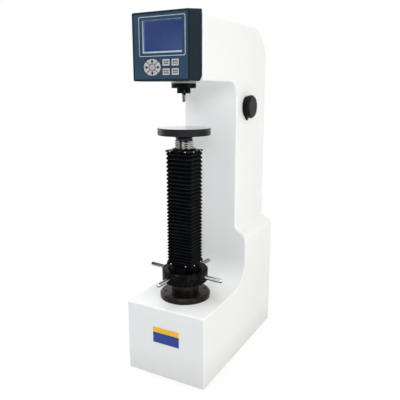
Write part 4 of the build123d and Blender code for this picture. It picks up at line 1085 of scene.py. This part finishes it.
class TESTER_OT_rear(Operator):
    """Finish the power inlet, its switch and the data port"""
    bl_idname = "tester.rear"
    bl_label = "Rear sockets"

    def execute(self, context):
        dress("knob_black", "power_inlet", "power_rocker")
        self.port()
        self.rocker_marks()
        return {"FINISHED"}

    def port(self):
        """Data port: open shell on its flange, with a black insert, nine contacts and two jack nuts."""
        low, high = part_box("data_port")
        face = face_place("data_port", to_rear)
        depth, flange_back, flange_front = low.y - high.y, -6 * mm, -5 * mm
        outer = rounded_outline(8.4 * mm, 4.2 * mm, 2.2 * mm)
        inner = rounded_outline(7.8 * mm, 3.6 * mm, 1.7 * mm)
        flange = rounded_outline(*half_face("data_port"), 1.4 * mm)
        shell = joined([frame_ring(outer, inner, flange_front, 0.0, face),
                        frame_ring(flange, outer, flange_back, flange_front, face),
                        prism(outer, depth, flange_back, face)])
        piece_from("port_shell", "stand", shell, "chrome", stands_for=("data_port",))
        piece_from("port_insert", "stand", prism(inner, flange_back, -0.9 * mm, face), "dark_mark_and_gap_shade")
        contact = [(0.6 * mm, -0.9 * mm), (0.6 * mm, -0.7 * mm), (0.25 * mm, -0.7 * mm)]
        pitch = 2.7
        spots = [((step - (count - 1) / 2) * pitch * mm, rise)
                 for count, rise in ((5, 1.4 * mm), (4, -1.4 * mm)) for step in range(count)]
        self.turned_group("port_contacts", contact, 16, face, spots, "bronze")
        nut = [(2.4 * mm, flange_front), (2.4 * mm, -1.4 * mm), (2 * mm, -mm), (1.1 * mm, -mm)]
        spots = ((-12.4 * mm, 0.0), (12.4 * mm, 0.0))
        self.turned_group("port_nuts", nut, 6, face, spots, "screw_steel", smooth=False)

    def turned_group(self, name, profile, steps, face, spots, finish, smooth=True):
        """Turned pieces at several spots of a face, as one piece."""
        parts = [lathe(profile, steps, face @ Matrix.Translation((*spot, 0.0))) for spot in spots]
        piece_from(name, "stand", joined(parts), finish, smooth=smooth)

    def rocker_marks(self):
        """The two generic signs on the rocker: a bar for on and a ring for off."""
        place = face_place("power_rocker", to_rear, -1.1 * mm)
        rise, thick = 3.2 * mm, 0.25 * mm
        bar = prism(rounded_outline(0.4 * mm, 1.4 * mm, 0.3 * mm, 2, (0.0, rise)), 0.0, thick, place)
        ring = frame_ring(circle(1.4 * mm, 24), circle(0.8 * mm, 24), 0.0, thick,
                          place @ Matrix.Translation((0.0, -rise, 0.2 * mm)))
        piece_from("rocker_signs", "power_rocker", joined([bar, ring]), "line_white")


class TESTER_OT_stage(Operator):
    """Set the floor, the lamps, the sky and the camera"""
    bl_idname = "tester.stage"
    bl_label = "Stage"

    def execute(self, context):
        stage = context.scene.tester_stage
        self.floor()
        self.sky(context, stage.sky)
        self.lamp("key_lamp", (2.3, -0.4, 1.5), (0.0, 0.15, 0.95), (1.5, 1.5), stage.key, (1.0, 0.985, 0.94))
        self.lamp("top_lamp", (-0.45, -0.2, 2.7), (0.0, 0.0, 0.3), (1.8, 1.8), stage.top, (1.0, 1.0, 1.0))
        self.lamp("fill_lamp", (1.1, -1.8, 1.4), (0.0, 0.16, 0.72), (1.2, 0.8), stage.fill, (0.88, 0.94, 1.0),
                  spread=50.0)
        self.lamp("strip_lamp", (-2.0, -0.1, 0.65), (0.0, 0.0, 0.6), (0.16, 1.1), stage.strip,
                  (0.94, 0.97, 1.0))
        self.camera(context, stage)
        context.scene.view_settings.view_transform = "Standard"
        return {"FINISHED"}

    def floor(self):
        """Pale floor that is white for the camera further out and keeps the soft shadow nearby."""
        f = Finish("pale_floor", (0.9, 0.9, 0.9), 0.9)
        away = f.node("VectorMath", {0: f.place}, operation="LENGTH").outputs["Value"]
        share = f.math("MULTIPLY", f.white_rays(), f.spread(away, 0.94, 1.0, 0.7, 2.6))
        white = f.node("Emission", {"Color": (1, 1, 1, 1), "Strength": 1.0})
        mixed = f.node("MixShader", {0: share, 1: f.shader.outputs[0], 2: white.outputs[0]})
        f.put(f.nodes["Material Output"].inputs["Surface"], mixed.outputs[0])
        mesh = bpy.data.meshes.new("floor")
        size = 14.0
        corners = [(-size, -size, 0), (size, -size, 0), (size, size, 0), (-size, size, 0)]
        mesh.from_pydata(corners, [], [(0, 1, 2, 3)])
        mesh.materials.append(f.material)
        plane = placed("floor", mesh)

    def sky(self, context, strength):
        """Even light, seen as white by the camera and by reflections."""
        world = bpy.data.worlds.new("studio_sky")
        context.scene.world = world
        world.use_nodes = True
        w = NodeSet(world.node_tree)
        heading = w.node("SeparateXYZ", {0: w.node("TexCoord").outputs["Generated"]}).outputs
        rise = w.ramp(heading["Z"], (0.62, 0.65, 0.70), (1.0, 1.0, 1.0), 0.75)
        side = w.ramp(heading["X"], (0.72, 0.78, 0.88), (1.0, 0.98, 0.93), 0.6)
        back = w.nodes["Background"]
        back.inputs["Strength"].default_value = strength
        w.put(back.inputs["Color"], w.mix(1.0, rise, side, "MULTIPLY"))
        white = w.node("Background", {"Color": (1, 1, 1, 1), "Strength": 1.0})
        mixed = w.node("MixShader", {0: w.white_rays(), 1: back.outputs[0], 2: white.outputs[0]})
        w.put(w.nodes["World Output"].inputs["Surface"], mixed.outputs[0])

    def lamp(self, name, place, target, size, power, colour, spread=180.0):
        """Soft lamp, wide and high by its size, aimed at a point."""
        data = bpy.data.lights.new(name, "AREA")
        data.shape = "RECTANGLE"
        data.size, data.size_y = size
        data.spread = radians(spread)
        data.energy = power
        data.color = colour
        lamp = placed(name, data)
        lamp.location = place
        lamp.rotation_euler = (Vector(target) - Vector(place)).to_track_quat("-Z", "Y").to_euler()

    def camera(self, context, stage):
        """Camera at the photograph's viewpoint."""
        data = bpy.data.cameras.new("camera")
        data.lens = stage.lens
        data.sensor_width = 36.0
        data.sensor_fit = "HORIZONTAL"
        camera = placed("camera", data)
        camera.location = stage.viewpoint
        camera.rotation_euler = Euler((pi / 2 - stage.pitch, 0.0, stage.yaw), "XYZ")
        context.scene.camera = camera


class TESTER_PT_panel(Panel):
    """Lists the tester's sizes, colours and pieces"""
    bl_idname = "TESTER_PT_panel"
    bl_label = "Hardness tester"
    bl_space_type = "VIEW_3D"
    bl_region_type = "UI"
    bl_category = "Tester"

    def draw(self, context):
        for name in settings:
            group = getattr(context.scene, name)
            box = self.layout.box()
            for key in group.bl_rna.properties.keys():
                if key not in ("rna_type", "name"):
                    box.prop(group, key)
        for operator in operators:
            self.layout.operator(operator.bl_idname)


settings = {"tester_look": TesterLook, "tester_bellows": TesterBellows, "tester_screw": TesterScrew,
            "tester_stage": TesterStage}
operators = (TESTER_OT_finishes, TESTER_OT_body, TESTER_OT_drive, TESTER_OT_screw, TESTER_OT_table,
             TESTER_OT_bellows, TESTER_OT_nose, TESTER_OT_display, TESTER_OT_keys, TESTER_OT_selector,
             TESTER_OT_train, TESTER_OT_rear, TESTER_OT_stage)
classes = (*settings.values(), *operators, TESTER_PT_panel)


def register():
    """Registers the classes and hangs the settings on the scene."""
    for item in classes:
        bpy.utils.register_class(item)
    for name, group in settings.items():
        setattr(bpy.types.Scene, name, PointerProperty(type=group))


def unregister():
    """Takes the settings and the classes away again."""
    for name in settings:
        delattr(bpy.types.Scene, name)
    for item in reversed(classes):
        bpy.utils.unregister_class(item)


def main():
    """Makes every piece in order."""
    register()
    bpy.ops.tester.finishes()
    bpy.ops.tester.body()
    bpy.ops.tester.drive()
    bpy.ops.tester.screw()
    bpy.ops.tester.table()
    bpy.ops.tester.bellows()
    bpy.ops.tester.nose()
    bpy.ops.tester.display()
    bpy.ops.tester.keys()
    bpy.ops.tester.selector()
    bpy.ops.tester.train()
    bpy.ops.tester.rear()
    bpy.ops.tester.stage()


if __name__ == "__main__":
    main()
